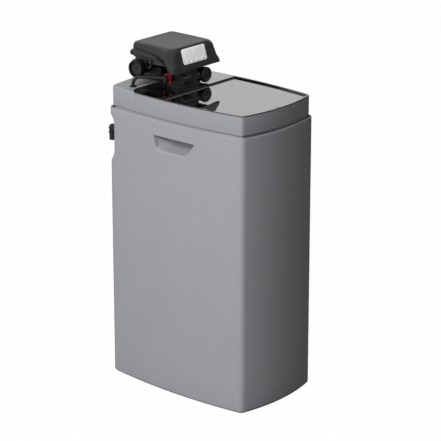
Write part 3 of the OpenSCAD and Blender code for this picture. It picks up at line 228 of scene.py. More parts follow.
# Unlit segments: only a shade darker than the window, with the same kind of painted glow
SEGMENT_GREY = Finish("unlit liquid crystal segments, glowing with painted light", "BABCBC", "C4C6C6", 0.3, 0.05, 6.0, 1.0, 0.001, glow=0.42)


@dataclass(frozen=True)
class SlotRule:
    """Which finish each record slot's CAD nodes take."""

    slot: str
    finish: Finish


SLOT_RULES = (
    SlotRule("cabinet", CABINET_ABS), SlotRule("collar", COLLAR_ABS), SlotRule("gloss_black", PIANO_BLACK),
    SlotRule("matt_black", VALVE_NYLON_SHADED), SlotRule("steel", ZINC_STEEL), SlotRule("tank", WOUND_GLASS),
    SlotRule("resin", RESIN_BEADS), SlotRule("natural", NATURAL_PP), SlotRule("rubber", EPDM),
    SlotRule("ceramic", CERAMIC), SlotRule("tube", TUBE_PE), SlotRule("clip_red", CLIP_RED),
    SlotRule("gear", ACETAL), SlotRule("lens", WINDOW_PMMA), SlotRule("lcd", LCD_GLASS),
    SlotRule("board", BOARD_FR4), SlotRule("key", KEY_SILICONE),
)
SOFT_NODES = {"brine_clip": 0.7, "drain_clip": 0.7, "brine_elbow": 0.5, "drain_elbow": 0.5, "drive_bracket": 0.6,
              "overflow_elbow": 0.5, "tube_grommet": 0.5, "power_socket": 0.6, "bonnet": 0.8}
NODE_FINISHES = {"hood": HOOD_ABS, "drive_bracket": HOOD_ABS, "tube_grommet": EPDM}


def dress_nodes() -> None:
    """Gives every carried-over CAD node the finish of its record slot."""
    finishes = {rule.slot: rule.finish for rule in SLOT_RULES}
    for row in frame["record"]["subparts"]:
        node = frame["nodes"][row["node"]]
        finish = NODE_FINISHES.get(row["node"], finishes[row["material_slot"]])
        node.data.materials.clear()
        node.data.materials.append(finish.material())


# Modelling bench


def select_none() -> None:
    """Deselects every object."""
    bpy.ops.object.select_all(action="DESELECT")


def pick(piece: bpy.types.Object) -> None:
    """Makes a piece the only selected object and the active one."""
    select_none()
    piece.select_set(True)
    bpy.context.view_layer.objects.active = piece


def primitive(kind: str, name: str, **settings: object) -> bpy.types.Object:
    """Adds a mesh primitive as the only selected object.

    Args:
        kind: Primitive name, such as circle or cylinder.
        name: Name of the new piece.
        settings: The operator's own settings.

    Returns:
        The new object, active and selected.
    """
    select_none()
    getattr(bpy.ops.mesh, f"primitive_{kind}_add")(**settings)
    made = bpy.context.active_object
    made.name = made.data.name = name
    return made


@contextmanager
def editing(piece: bpy.types.Object, mode: str = "VERT") -> Iterator[bpy.types.Object]:
    """Opens a piece in edit mode with nothing selected in it.

    Args:
        piece: The piece to edit.
        mode: VERT, EDGE or FACE selection.

    Yields:
        The same piece, open.
    """
    pick(piece)
    bpy.ops.object.mode_set(mode="EDIT")
    bpy.ops.mesh.select_mode(type=mode)
    bpy.ops.mesh.select_all(action="DESELECT")
    yield piece
    bpy.ops.object.mode_set(mode="OBJECT")


def apply_modifier(piece: bpy.types.Object, kind: str, **settings: object) -> None:
    """Adds a modifier and applies it.

    Args:
        piece: The piece it works on.
        kind: Modifier type.
        settings: The modifier's own settings.
    """
    pick(piece)
    modifier = piece.modifiers.new(kind.lower(), kind)
    for name, value in settings.items():
        setattr(modifier, name, value)
    bpy.ops.object.modifier_apply(modifier=modifier.name)


def cut_with(piece: bpy.types.Object, cutter: bpy.types.Object) -> None:
    """Cuts one piece out of another and uses it up.

    Args:
        piece: The piece that stays.
        cutter: The piece that is cut out of it.
    """
    apply_modifier(piece, "BOOLEAN", object=cutter, operation="DIFFERENCE", solver="EXACT")
    bpy.data.objects.remove(cutter)


def tidy_mesh(piece: bpy.types.Object) -> None:
    """Merges doubles and turns the faces outwards."""
    with editing(piece):
        bpy.ops.mesh.select_all(action="SELECT")
        bpy.ops.mesh.remove_doubles(threshold=WELD)
        bpy.ops.mesh.dissolve_degenerate(threshold=WELD)
        bpy.ops.mesh.normals_make_consistent(inside=False)


def smooth(piece: bpy.types.Object, degrees: float = 32.0) -> None:
    """Shades a piece smooth across edges flatter than the given angle."""
    pick(piece)
    bpy.ops.object.shade_smooth_by_angle(angle=math.radians(degrees))


def loft(name: str, rings: Sequence[Ring], ends: bool = True, around: bool = False) -> bpy.types.Object:
    """Draws a skin up from a circle by extruding its rim ring by ring.

    Args:
        name: Name of the new piece.
        rings: Rings of points in millimetres, all of one count.
        ends: Fill the first and last ring.
        around: Close the last ring onto the first instead.

    Returns:
        The new piece, with its faces outwards.
    """
    count = len(rings[0])
    piece = primitive("circle", name, vertices=count, radius=1.0, fill_type="NOTHING")
    with editing(piece, "EDGE"):
        bpy.ops.mesh.select_all(action="SELECT")
        mesh = bmesh.from_edit_mesh(piece.data)
        mesh.verts.ensure_lookup_table()
        order = {mesh.verts[i].index: i for i in range(count)}
        for vert, point in zip(mesh.verts, rings[0]):
            vert.co = Vector(point) * MM
        for ring in [*rings[1:], *([rings[0]] if around else [])]:
            bpy.ops.mesh.extrude_edges_indiv()
            mesh = bmesh.from_edit_mesh(piece.data)
            mesh.verts.index_update()
            fresh = {}
            for vert in (v for v in mesh.verts if v.select):
                place = next(order[e.other_vert(vert).index] for e in vert.link_edges
                             if e.other_vert(vert).index in order)
                vert.co = Vector(ring[place]) * MM
                fresh[vert.index] = place
            order = fresh
        bmesh.update_edit_mesh(piece.data)
        if ends and not around:
            bpy.ops.mesh.edge_face_add()
            bpy.ops.mesh.select_all(action="DESELECT")
            mesh = bmesh.from_edit_mesh(piece.data)
            for edge in mesh.edges:
                edge.select_set(edge.is_boundary)
            bmesh.update_edit_mesh(piece.data)
            bpy.ops.mesh.edge_face_add()
    tidy_mesh(piece)
    return piece


def box_cutter(low: Point, high: Point) -> bpy.types.Object:
    """Makes a block between two corners in millimetres, to cut with.

    Args:
        low: The lowest corner.
        high: The highest corner.

    Returns:
        The block, with its place in its mesh.
    """
    middle = [(a + b) / 2 * MM for a, b in zip(low, high)]
    made = primitive("cube", "cutter", size=1.0, location=middle)
    made.scale = [(b - a) * MM for a, b in zip(low, high)]
    bpy.ops.object.transform_apply(location=True, rotation=True, scale=True)
    return made


def placing(at: Point, axis: Axis) -> Matrix:
    """Matrix that brings a piece modelled up the Z axis to a point and an axis.

    Args:
        at: The point in millimetres.
        axis: The axis that +Z turns onto.

    Returns:
        The matrix.
    """
    turn = Matrix.Translation(Vector(at) * MM)
    for k, angle in zip("XYZ", axis.value):
        turn = turn @ Matrix.Rotation(angle, 4, k)
    return turn


def rod(name: str, at: Point, radius: float, length: float, axis: Axis = Axis.Z,
        sides: int = 64) -> bpy.types.Object:
    """Makes a cylinder from a point along an axis, in millimetres, with its place in its mesh.

    Args:
        name: Name of the new piece.
        at: Centre of its first end.
        radius: Its radius.
        length: Its length.
        axis: Its direction.
        sides: Columns round it.

    Returns:
        The cylinder.
    """
    made = primitive("cylinder", name, vertices=sides, radius=radius * MM, depth=length * MM)
    made.data.transform(placing(at, axis) @ Matrix.Translation((0.0, 0.0, length / 2 * MM)))
    return made


def turned(name: str, profile: Sequence[tuple[float, float]], at: Point, axis: Axis, sides: int = 96,
           flutes: tuple[int, float, float] | None = None) -> bpy.types.Object:
    """Turns a half profile about an axis.

    Args:
        name: Name of the new piece.
        profile: Radius and height of each ring, in millimetres.
        at: The profile's origin.
        axis: Direction of the profile's height.
        sides: Columns round the piece.
        flutes: Count, depth and least radius of hollows round the piece.

    Returns:
        The new piece.
    """
    count, depth, least = flutes or (0, 0.0, math.inf)

    def reach(r: float, turn: float) -> float:
        """Radius at a bearing, inside a hollow if the ring is wide enough for one."""
        return r - depth * max(0.0, math.cos(count * turn)) ** 1.5 if r >= least else r

    turns = [2 * math.pi * i / sides for i in range(sides)]
    rings = [[(reach(r, a) * math.cos(a), reach(r, a) * math.sin(a), h) for a in turns] for r, h in profile]
    piece = loft(name, rings)
    piece.data.transform(placing(at, axis))
    return piece


def rounded(width: float, height: float, radius: float, z: float, steps: int = 8) -> Ring:
    """A ring of a round-cornered plate about the Z axis.

    Args:
        width: Size along X.
        height: Size along Y.
        radius: Corner radius.
        z: Height of the ring.
        steps: Edges in each corner.

    Returns:
        The ring, anticlockwise from the right.
    """
    points = []
    for i, (sx, sy) in enumerate(((1, 1), (-1, 1), (-1, -1), (1, -1))):
        for k in range(steps + 1):
            a = math.pi / 2 * (i + k / steps)
            points.append((sx * (width / 2 - radius) + radius * math.cos(a),
                           sy * (height / 2 - radius) + radius * math.sin(a), z))
    return points


def bends(*degrees: float) -> list[float]:
    """Bearings of the rings of a rounded edge, in radians."""
    return [math.radians(d) for d in degrees]


def plate(name: str, size: tuple[float, float], radius: float, span: tuple[float, float],
          edge: float) -> bpy.types.Object:
    """Makes a round-cornered plate with a softened upper edge.

    Args:
        name: Name of the new piece.
        size: Width and height.
        radius: Corner radius.
        span: Lowest and highest Z.
        edge: Radius of the upper edge.

    Returns:
        The new piece, about the Z axis.
    """
    low, high = span
    rings = [rounded(*size, radius, low)]
    for a in bends(0, 30, 60, 90):
        d = edge * (1 - math.cos(a))
        rings.append(rounded(size[0] - 2 * d, size[1] - 2 * d, max(radius - d, 0.1), high - edge * (1 - math.sin(a))))
    return loft(name, rings)


def join(name: str, pieces: Sequence[bpy.types.Object]) -> bpy.types.Object:
    """Joins pieces into one object and names it.

    Args:
        name: Name of the joined piece.
        pieces: The pieces, of which the first takes in the others.

    Returns:
        The joined piece.
    """
    select_none()
    for piece in pieces:
        piece.select_set(True)
    bpy.context.view_layer.objects.active = pieces[0]
    bpy.ops.object.join()
    pieces[0].name = pieces[0].data.name = name
    return pieces[0]


def settle(piece: bpy.types.Object, body: Body, finish: Finish, slot: str, *nodes: str) -> bpy.types.Object:
    """Gives a finished piece its material and body, and hides the CAD nodes that it stands for.

    Args:
        piece: The piece.
        body: The body it rides on.
        finish: Its finish.
        slot: The record's material slot; not used.
        nodes: CAD nodes that it stands for.

    Returns:
        The piece.
    """
    piece.data.materials.clear()
    piece.data.materials.append(finish.material())
    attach(piece, body.value)
    if nodes:
        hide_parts(*nodes)
    LOG.info("%s: %d faces on %s", piece.name, len(piece.data.polygons), body.value)
    return piece


# Plan of the cabinet


@dataclass(frozen=True)
class Station:
    """One column of the outline: a point on an arc about a centre."""

    centre: tuple[float, float]
    radius: float
    angle: float

    def at(self, inset: float, shift_y: float = 0.0) -> tuple[float, float]:
        """Point of this column on the outline moved in, and slid along Y.

        Args:
            inset: Distance in from the outline.
            shift_y: How far the point slides along its arc, measured in Y.

        Returns:
            X and Y of the point.
        """
        r = max(self.radius - inset, 0.4)
        x, y = self.centre[0] + r * math.cos(self.angle), self.centre[1] + r * math.sin(self.angle)
        if shift_y:
            rise = y + shift_y - self.centre[1]
            x = self.centre[0] + math.copysign(math.sqrt(r * r - rise * rise), math.cos(self.angle))
            y += shift_y
        return x, y


@dataclass
class CabinetPlan:
    """The barrel-sided outline, as arcs that meet in rounded corners."""

    width: float = 320.0
    depth: float = 500.0
    side_bulge: float = 17.5
    front_bulge: float = 20.5
    rear_bulge: float = 16.5
    corner: float = 18.0
    corner_columns: int = 8
    front_columns: int = 40
    rear_columns: int = 36
    side_places: Sequence[float] = ()

    def _arcs(self) -> tuple[tuple[float, float], float, tuple[float, float], float, tuple[float, float], float]:
        """Centres and radii of the right side, the front and the rear.

        Returns:
            Each centre, followed by its radius.
        """
        half_w, half_d = self.width / 2, self.depth / 2
        side_half = half_d - (self.front_bulge + self.rear_bulge) / 2
        end_half = half_w - self.side_bulge

        def radius(half: float, rise: float) -> float:
            """Radius of an arc from its half chord and rise."""
            return (half * half + rise * rise) / (2 * rise)

        side, front, rear = (radius(side_half, self.side_bulge), radius(end_half, self.front_bulge),
                             radius(end_half, self.rear_bulge))
        return (half_w - side, 0.0), side, (0.0, front - half_d), front, (0.0, half_d - rear), rear

    @staticmethod
    def _meet(c0: tuple[float, float], r0: float, c1: tuple[float, float], r1: float,
              hand: int) -> tuple[float, float]:
        """Where two circles cross, on one hand of the line between their centres.

        Args:
            c0: First centre.
            r0: First radius.
            c1: Second centre.
            r1: Second radius.
            hand: 1 for the left of the line, -1 for the right.

        Returns:
            The crossing.
        """
        dx, dy = c1[0] - c0[0], c1[1] - c0[1]
        d = math.hypot(dx, dy)
        t = (r0 * r0 - r1 * r1 + d * d) / (2 * d)
        h = hand * math.sqrt(r0 * r0 - t * t)
        return c0[0] + (dx * t - dy * h) / d, c0[1] + (dy * t + dx * h) / d

    def stations(self) -> list[Station]:
        """Columns round the outline, anticlockwise from the front left.

        Returns:
            The columns.
        """
        side_c, side_r, front_c, front_r, rear_c, rear_r = self._arcs()
        k, n = self.corner, self.corner_columns
        fc = self._meet(side_c, side_r - k, front_c, front_r - k, -1)
        rc = self._meet(side_c, side_r - k, rear_c, rear_r - k, 1)

        def bearing(c: tuple[float, float], p: tuple[float, float]) -> float:
            """Angle from a centre to a point."""
            return math.atan2(p[1] - c[1], p[0] - c[0])

        front, side0 = bearing(front_c, fc), bearing(side_c, fc)
        side1, rear = bearing(side_c, rc), bearing(rear_c, rc)
        low, high = side_r * math.sin(side0), side_r * math.sin(side1)
        inner = [y for y in self.side_places if low + 1 < y < high - 1]
        sides = [side0] + [math.asin(y / side_r) for y in inner]

        def arc(c: tuple[float, float], r: float, a: float, b: float, count: int) -> list[Station]:
            """Evenly spaced columns from a towards b."""
            return [Station(c, r, a + (b - a) * i / count) for i in range(count)]

        def flip(c: tuple[float, float]) -> tuple[float, float]:
            """The same place on the left."""
            return -c[0], c[1]

        turn = math.pi
        right = arc(fc, k, front, side0, n) + [Station(side_c, side_r, a) for a in sides] + arc(rc, k, side1, rear, n)
        left_angles = [side1] + [math.asin(y / side_r) for y in reversed(inner)]
        left = (arc(flip(rc), k, turn - rear, turn - side1, n)
                + [Station(flip(side_c), side_r, turn - a) for a in left_angles]
                + arc(flip(fc), k, turn - side0, turn - front, n))
        return (arc(front_c, front_r, -turn - front, front, self.front_columns) + right
                + arc(rear_c, rear_r, rear, turn - rear, self.rear_columns) + left)

    def ring(self, inset: float, z: float, rear: float | None = None) -> Ring:
        """A level ring of the outline moved in, cut off straight at a rear line if one is given.

        Args:
            inset: Distance in from the outline.
            z: Height.
            rear: Y of the straight rear edge, along which the columns behind it are spread.

        Returns:
            The ring's points.
        """
        points = [s.at(inset) for s in self.stations()]
        if rear is not None:
            behind = [i for i, p in enumerate(points) if p[1] > rear]
            first, last = behind[0], behind[-1]
            wide = abs(points[first - 1][0])
            for i in behind:
                share = (i - first) / (last - first)
                points[i] = (wide * (1 - 2 * share), rear)
        return [(x, y, z) for x, y in points]


def spaced(start: float, end: float, step: float) -> list[float]:
    """Even places from start to end, both included, about a step apart."""
    n = max(1, round(abs(end - start) / step))
    return [start + (end - start) * i / n for i in range(n + 1)]


def between(table: Sequence[tuple[float, float]], x: float) -> float:
    """Value at x of a table of points in rising order, straight between them.

    Args:
        table: Places and their values.
        x: The place asked for.

    Returns:
        The value, held at both ends of the table.
    """
    if x <= table[0][0]:
        return table[0][1]
    for (x0, v0), (x1, v1) in zip(table, table[1:]):
        if x <= x1:
            return v0 + (v1 - v0) * (x - x0) / (x1 - x0)
    return table[-1][1]


# Cabinet


@dataclass
class HandHold:
    """The moulded hand-hold in each long side: a scoop with a flat roof, a hollow floor and sloped ends."""

    roof: float = 716.0
    height: float = 38.0
    depth: float = 48.0
    front: float = -82.0
    back: float = 63.0
    front_slant: float = 0.82
    rear_slant: float = 0.34
    edge: float = 2.0
    floor_rise: float = 11.0
    fade: float = 70.0
    end_run: float = 38.0
    end_share: float = 0.12
    run_out: float = 6.0
    side_run: float = 40.0
    side_fade: float = 60.0
    wall: Sequence[tuple[float, float]] = ((-3.0, 0.0), (-1.6, 0.008), (-0.6, 0.04), (0.3, 0.14), (1.1, 0.38),
                                           (1.9, 0.68), (2.7, 0.88), (3.6, 0.965), (5.0, 1.0))

    def places(self) -> list[float]:
        """Columns along the side that the two ends need, measured at the roof."""
        return [self.front + o for o, _ in self.wall] + [self.back - o for o, _ in reversed(self.wall)]

    def share(self, y: float) -> float:
        """How far a column is inside the hand-hold, from 0 to 1."""
        return min(between(self.wall, y - self.front), between(self.wall, self.back - y))

    def scoop(self, y: float) -> float:
        """Share of the full depth that a column reaches, less towards the sloped ends."""
        run = min(max(min(y - self.front, self.back - y) / self.end_run, 0.0), 1.0)
        return self.end_share + (1 - self.end_share) * math.sin(run * math.pi / 2)

    def slide(self, y: float, z: float) -> float:
        """How far a column leans along Y at a height, so that it follows the slanted ends.

        Args:
            y: The column's place at the roof.
            z: The height.

        Returns:
            The shift along Y.
        """
        below = self.height + self.run_out
        drop = min(max(self.roof - z, 0.0), below)
        away = max(self.roof - below - z, 0.0)
        middle, half = (self.front + self.back) / 2, (self.back - self.front) / 2
        place = (y - middle) / half
        slant = self.rear_slant if place > 0 else self.front_slant
        beyond = max(0.0, abs(y - middle) - half - self.side_run)
        lean = slant * drop * max(0.0, 1.0 - away / self.fade) * max(0.0, 1.0 - beyond / self.side_fade)
        return -lean * max(-1.0, min(1.0, place))

    def rows(self) -> list[Row]:
        """Rows from below to above: height on the plain side, height and depth inside the hold.

        Returns:
            The rows.
        """
        r, low = self.edge, self.roof - self.height
        path = [(low - 4.0, 0.0), (low - 1.8, 0.25), (low - 0.4, 1.0), (low + 0.4, 2.2)]
        path += [(low + 1.0 + (self.floor_rise - 1.0) * t, 4.0 + (self.depth - 9.0) * t)
                 for t in (0.0, 0.12, 0.25, 0.4, 0.55, 0.7, 0.85, 1.0)]
        path += [(low + self.floor_rise + up, self.depth - back)
                 for up, back in ((1.2, 2.6), (3.0, 1.0), (5.2, 0.2), (8.0, 0.0))]
        path += [(self.roof - r, self.depth), (self.roof - r * 0.3, self.depth - r * 0.3)]
        path += [(self.roof, self.depth - r), (self.roof, self.depth / 2), (self.roof, r)]
        path += [(self.roof + r * (1 - math.cos(a)), r * (1 - math.sin(a)))
                 for a in bends(30, 60, 90)]
        path += [(self.roof + 2 * r, 0.0)]
        lengths = [0.0]
        for (z0, d0), (z1, d1) in zip(path, path[1:]):
            lengths.append(lengths[-1] + math.hypot(z1 - z0, d1 - d0))
        start, end = path[0][0], path[-1][0]
        return [(start + (end - start) * s / lengths[-1], z, d) for s, (z, d) in zip(lengths, path)]


def level_row(z: float) -> Row:
    """A row of the cabinet's skin that stays level past the hand-holds."""
    return z, z, 0.0


@dataclass
class Cabinet:
    """The outer cabinet: floor, barrel sides, lip, ledge, hand-holds and rear recess."""

    height: float = 758.0
    wall: float = 4.0
    foot: float = 10.0
    foot_in: float = 3.0
    lip: float = 1.4
    lip_deep: float = 3.4
    ledge: float = 750.0
    ledge_wide: float = 11.0
    ledge_thick: float = 4.0
    overflow_at: Point = (-125.0, 200.0, 695.0)
    overflow_r: float = 8.3
    # Half width beyond which a column belongs to a long side
    side_from: float = 120.0
    side_end: float = 224.0
    side_step: float = 12.0
    hold_step: float = 5.0
    # Rows lie far apart on the plain wall and close together beside the recess and the hand-holds
    plain_top: float = 590.0
    plain_step: float = 58.0
    below_hold: float = 644.0
    below_step: float = 8.0
    above_hold: float = 719.0
    above_step: float = 4.0
    last_row: float = 747.0
    hold: HandHold = field(default_factory=HandHold)
    recess: Sequence[tuple[float, float]] = (
        (603.0, 254.0), (605.0, 250.0), (605.8, 246.0), (606.2, 241.0), (606.8, 236.5), (608.4, 233.2),
        (631.6, 217.0), (633.6, 215.8), (636.2, 215.0), (719.4, 215.0), (721.4, 215.7), (723.0, 216.9),
        (738.6, 232.4), (740.0, 234.4), (740.6, 237.5), (741.0, 242.0), (741.4, 247.0),
        (742.2, 250.0), (744.0, 254.0))

    def plan(self) -> CabinetPlan:
        """The outline with the columns that the hand-holds need.

        Returns:
            The outline.
        """
        ends = self.hold.places()
        half = len(ends) // 2
        plain = [*spaced(-self.side_end, ends[0] - 8.0, self.side_step), *ends[:half],
                 *spaced(self.hold.front + 10.0, self.hold.back - 10.0, self.hold_step), *ends[half:],
                 *spaced(ends[-1] + 8.0, self.side_end, self.side_step)]
        return CabinetPlan(side_places=plain)

    def _ring(self, stations: Sequence[Station], row: Row, inset: float) -> Ring:
        """One ring of the skin, with its hand-holds and recess.

        Args:
            stations: Columns of the outline.
            row: The row that the ring follows.
            inset: Distance in from the outline.

        Returns:
            The ring's points.
        """
        flat, held, depth = row
        points = []
        for s in stations:
            x, y = s.at(inset)
            z = flat
            if abs(math.cos(s.angle)) > 0.9 and abs(x) > self.side_from:
                share = self.hold.share(y)
                x, y = s.at(inset, self.hold.slide(y, flat + (held - flat) * share))
                z = flat + (held - flat) * share
                x -= math.copysign(depth * share * self.hold.scoop(s.at(inset)[1]), x)
            limit = between(self.recess, z) - inset
            points.append((x, min(y, limit), z))
        return points

    def rows(self) -> list[Row]:
        """Rows of the upright wall from the foot to the lip.

        Returns:
            The rows, with those of the hand-holds among them.
        """
        held = self.hold.rows()
        plain = [*spaced(self.foot, self.plain_top, self.plain_step), *[z for z, _ in self.recess],
                 *spaced(self.below_hold, held[0][0] - 3.0, self.below_step),
                 *spaced(held[-1][0] + 2.0, self.above_hold, self.above_step), self.last_row, self.height - self.lip]
        keep = sorted(z for z in plain if z < held[0][0] or z > held[-1][0])
        below = [level_row(z) for z in keep if z < held[0][0]]
        return below + held + [level_row(z) for z in keep if z > held[-1][0]]

    def build(self) -> bpy.types.Object:
        """Models the shell as one closed skin, outside and in.

        Returns:
            The shell.
        """
        stations, rows = self.plan().stations(), self.rows()
        inside, under = self.wall + self.ledge_wide, self.ledge - self.ledge_thick
        path = [(level_row(0.0), self.foot + self.foot_in)]
        path += [(level_row(self.foot * (1 - math.cos(a))), self.foot * (1 - math.sin(a)))
                 for a in bends(0, 18, 36, 54, 72)]
        path += [(row, 0.0) for row in rows]
        path += [(level_row(self.height - self.lip * (1 - math.sin(a))), self.lip * (1 - math.cos(a)))
                 for a in bends(22, 45, 68, 90)]
        path += [(level_row(z), inset) for z, inset in (
            (self.height - self.lip_deep, self.wall), (self.ledge, self.wall), (self.ledge, inside),
            (under, inside), (under, self.wall))]
        path += [(row, self.wall) for row in reversed(rows) if row[0] < under - 2.0]
        path.append((level_row(self.wall), self.foot))
        shell = loft("cabinet_skin", [self._ring(stations, row, inset) for row, inset in path])
        cut_with(shell, rod("cutter", self.overflow_at, self.overflow_r, 30.0, Axis.Y))
        smooth(shell)
        return settle(shell, Body.CABINET, CABINET_ABS, "cabinet", "cabinet_shell")


# Collar, deck and lid


@dataclass
class Deck:
    """The grey collar with its rear deck, the gloss black frame and the salt lid."""

    inset: float = 7.2
    wall: float = 3.0
    top: float = 815.0
    plate: float = 812.0
    ledge: float = 750.0
    shadow_top: float = 763.0
    shadow_in: float = 6.0
    foot_wall: float = 2.0
    edge_round: float = 2.6
    plate_deep: float = 6.0
    clear: float = 0.3
    hook: float = 3.0
    rear: float = 160.0
    rear_round: float = 45.0
    step: float = 43.0
    rim: float = 5.0
    rim_edge: float = 0.7
    shelf_wide: float = 4.0
    shelf_thick: float = 2.0
    lid_gap: float = 0.8
    notch_r: float = 12.0
    lid_top: float = 810.5
    lid_under: float = 805.5
    hinge_y: float = 40.0
    tank_y: float = 100.0
    neck_r: float = 53.0
    frame_neck_r: float = 49.5
    tube_at: tuple[float, float] = (-108.0, 178.0)
    tube_r: float = 7.25
    plan: CabinetPlan = field(default_factory=lambda: CabinetPlan(side_places=spaced(-222.0, 222.0, 9.0)))

    def collar(self) -> bpy.types.Object:
        """Models the collar wall and the deck plate, with soft upper edges.

        Returns:
            The collar.
        """
        r, ring = self.edge_round, self.plan.ring
        inner, foot = self.inset + self.wall, self.inset + self.shadow_in
        front = self.step + self.hook + self.clear
        sill, under = self.shadow_top + self.wall, self.top - self.plate_deep
        rings = [ring(foot, self.ledge), ring(foot, self.shadow_top - 0.05), ring(self.inset + 0.8, self.shadow_top),
                 ring(self.inset + 0.2, self.shadow_top + 0.3), ring(self.inset, self.shadow_top + 1.0),
                 ring(self.inset, self.top - r)]
        rings += [ring(self.inset + r * (1 - math.cos(a)), self.top - r * (1 - math.sin(a)))
                  for a in bends(22, 45, 68, 90)]
        rings += [ring(inner - 0.2, self.top), ring(inner, self.top, front), ring(inner, under, front),
                  ring(inner, under), ring(inner, sill), ring(foot + self.foot_wall, sill),
                  ring(foot + self.foot_wall, self.ledge)]
        collar = loft("collar_skin", rings, around=True)
        cut_with(collar, rod("cutter", (0.0, self.tank_y, self.ledge - 10.0), self.neck_r, 120.0, sides=96))
        cut_with(collar, rod("cutter", (*self.tube_at, self.ledge - 10.0), self.tube_r, 120.0))
        seat = box_cutter((-200.0, -300.0, self.plate), (200.0, self.rear, 830.0))
        for hand in (-1.0, 1.0):
            cut_with(seat, self.corner(hand, 0.0))
        cut_with(collar, seat)
        smooth(collar)
        return settle(collar, Body.CABINET, COLLAR_ABS, "collar", "collar")

    def corner(self, hand: float, more: float) -> bpy.types.Object:
        """A block that rounds off a rear corner of the black plate.

        Args:
            hand: -1 for the left corner, 1 for the right.
            more: How much further it cuts into the plate.

        Returns:
            The block.
        """
        r, side = self.rear_round, self.plan.width / 2 - self.inset
        middle = (side - r, self.rear - r)
        bend = [(middle[0] + (r - more) * math.cos(a), middle[1] + (r - more) * math.sin(a))
                for a in (math.radians(6.0 * i) for i in range(16))]
        outline = [(side + 40.0, bend[0][1]), *bend, (bend[-1][0], self.rear + 20.0), (side + 40.0, self.rear + 20.0)]
        return loft("cutter", [[(hand * x, y, z) for x, y in outline] for z in (self.plate - 4.0, 840.0)])

    def surround(self) -> bpy.types.Object:
        """Models the gloss black plate with the rim and shelf round the lid.

        Returns:
            The plate.
        """
        edge, back = self.rim_edge, self.rear - self.clear
        inner, outer = self.inset + self.rim, self.inset + self.wall + self.clear
        shelf = self.lid_under - self.clear
        ledge, under = inner + self.shelf_wide, shelf - self.shelf_thick
        ring = self.plan.ring
        rings = [ring(self.inset, self.plate + 0.05, back), ring(self.inset, self.top - edge, back),
                 ring(self.inset + 0.2, self.top - 0.2, back), ring(self.inset + edge, self.top, back),
                 ring(self.inset + edge + 0.4, self.top, back - 0.4),
                 ring(inner - edge - 0.4, self.top, self.step + edge + 0.4),
                 ring(inner - edge, self.top, self.step + edge),
                 ring(inner - 0.2, self.top - 0.2, self.step + 0.2), ring(inner, self.top - edge, self.step),
                 ring(inner, shelf, self.step), ring(ledge, shelf, self.step - 0.1),
                 ring(ledge, under, self.step - 0.1), ring(outer, under, self.step + self.hook),
                 ring(outer, self.plate, self.step + self.hook)]
        surround = loft("deck_surround", rings, around=True)
        cut_with(surround, rod("cutter", (0.0, self.tank_y, 790.0), self.frame_neck_r, 60.0, sides=96))
        for hand in (-1.0, 1.0):
            cut_with(surround, self.corner(hand, self.clear))
        smooth(surround, TRIM_ANGLE)
        return settle(surround, Body.CABINET, PIANO_BLACK, "gloss_black", "deck_frame")

    def lid(self) -> bpy.types.Object:
        """Models the salt lid with softened edges, a round hinge edge and a finger notch.

        Returns:
            The lid.
        """
        inset = self.inset + self.rim + self.lid_gap
        half = (self.lid_top - self.lid_under) / 2
        middle = self.lid_under + half

        def level(z: float, extra: float) -> Ring:
            """A ring whose hinge edge follows the hinge's round."""
            reach = math.sqrt(max(half * half - (z - middle) ** 2, 0.0))
            return self.plan.ring(inset + extra, z, self.hinge_y + reach)

        rings = [self.plan.ring(inset + 1.4, self.lid_under, self.hinge_y - 1.5), level(self.lid_under, 0.9),
                 level(self.lid_under + 0.3, 0.3),
                 level(self.lid_under + 0.9, 0.0), level(middle, 0.0), level(self.lid_top - 1.0, 0.0),
                 level(self.lid_top - 0.3, 0.3), level(self.lid_top, 1.0),
                 self.plan.ring(inset + 1.6, self.lid_top, self.hinge_y - 1.5)]
        lid = loft("salt_lid_panel", rings)
        cut_with(lid, rod("cutter", (0.0, inset - self.plan.depth / 2, 790.0), self.notch_r, 30.0))
        smooth(lid, TRIM_ANGLE)
        return settle(lid, Body.LID, PIANO_BLACK, "gloss_black", "salt_lid")

    def build(self) -> None:
        """Models the three pieces."""
        self.collar()
        self.surround()
        self.lid()


# Hood


@dataclass(frozen=True)
class HoodLevel:
    """One level of the hood's skin: where it lies and how far its sides, rear and front come in."""

    share: float
    below_top: float
    front_in: float
    rear_in: float
    rear_back: float
    corner: float
    setback: float = 0.0
    rear_corner: float = 7.0


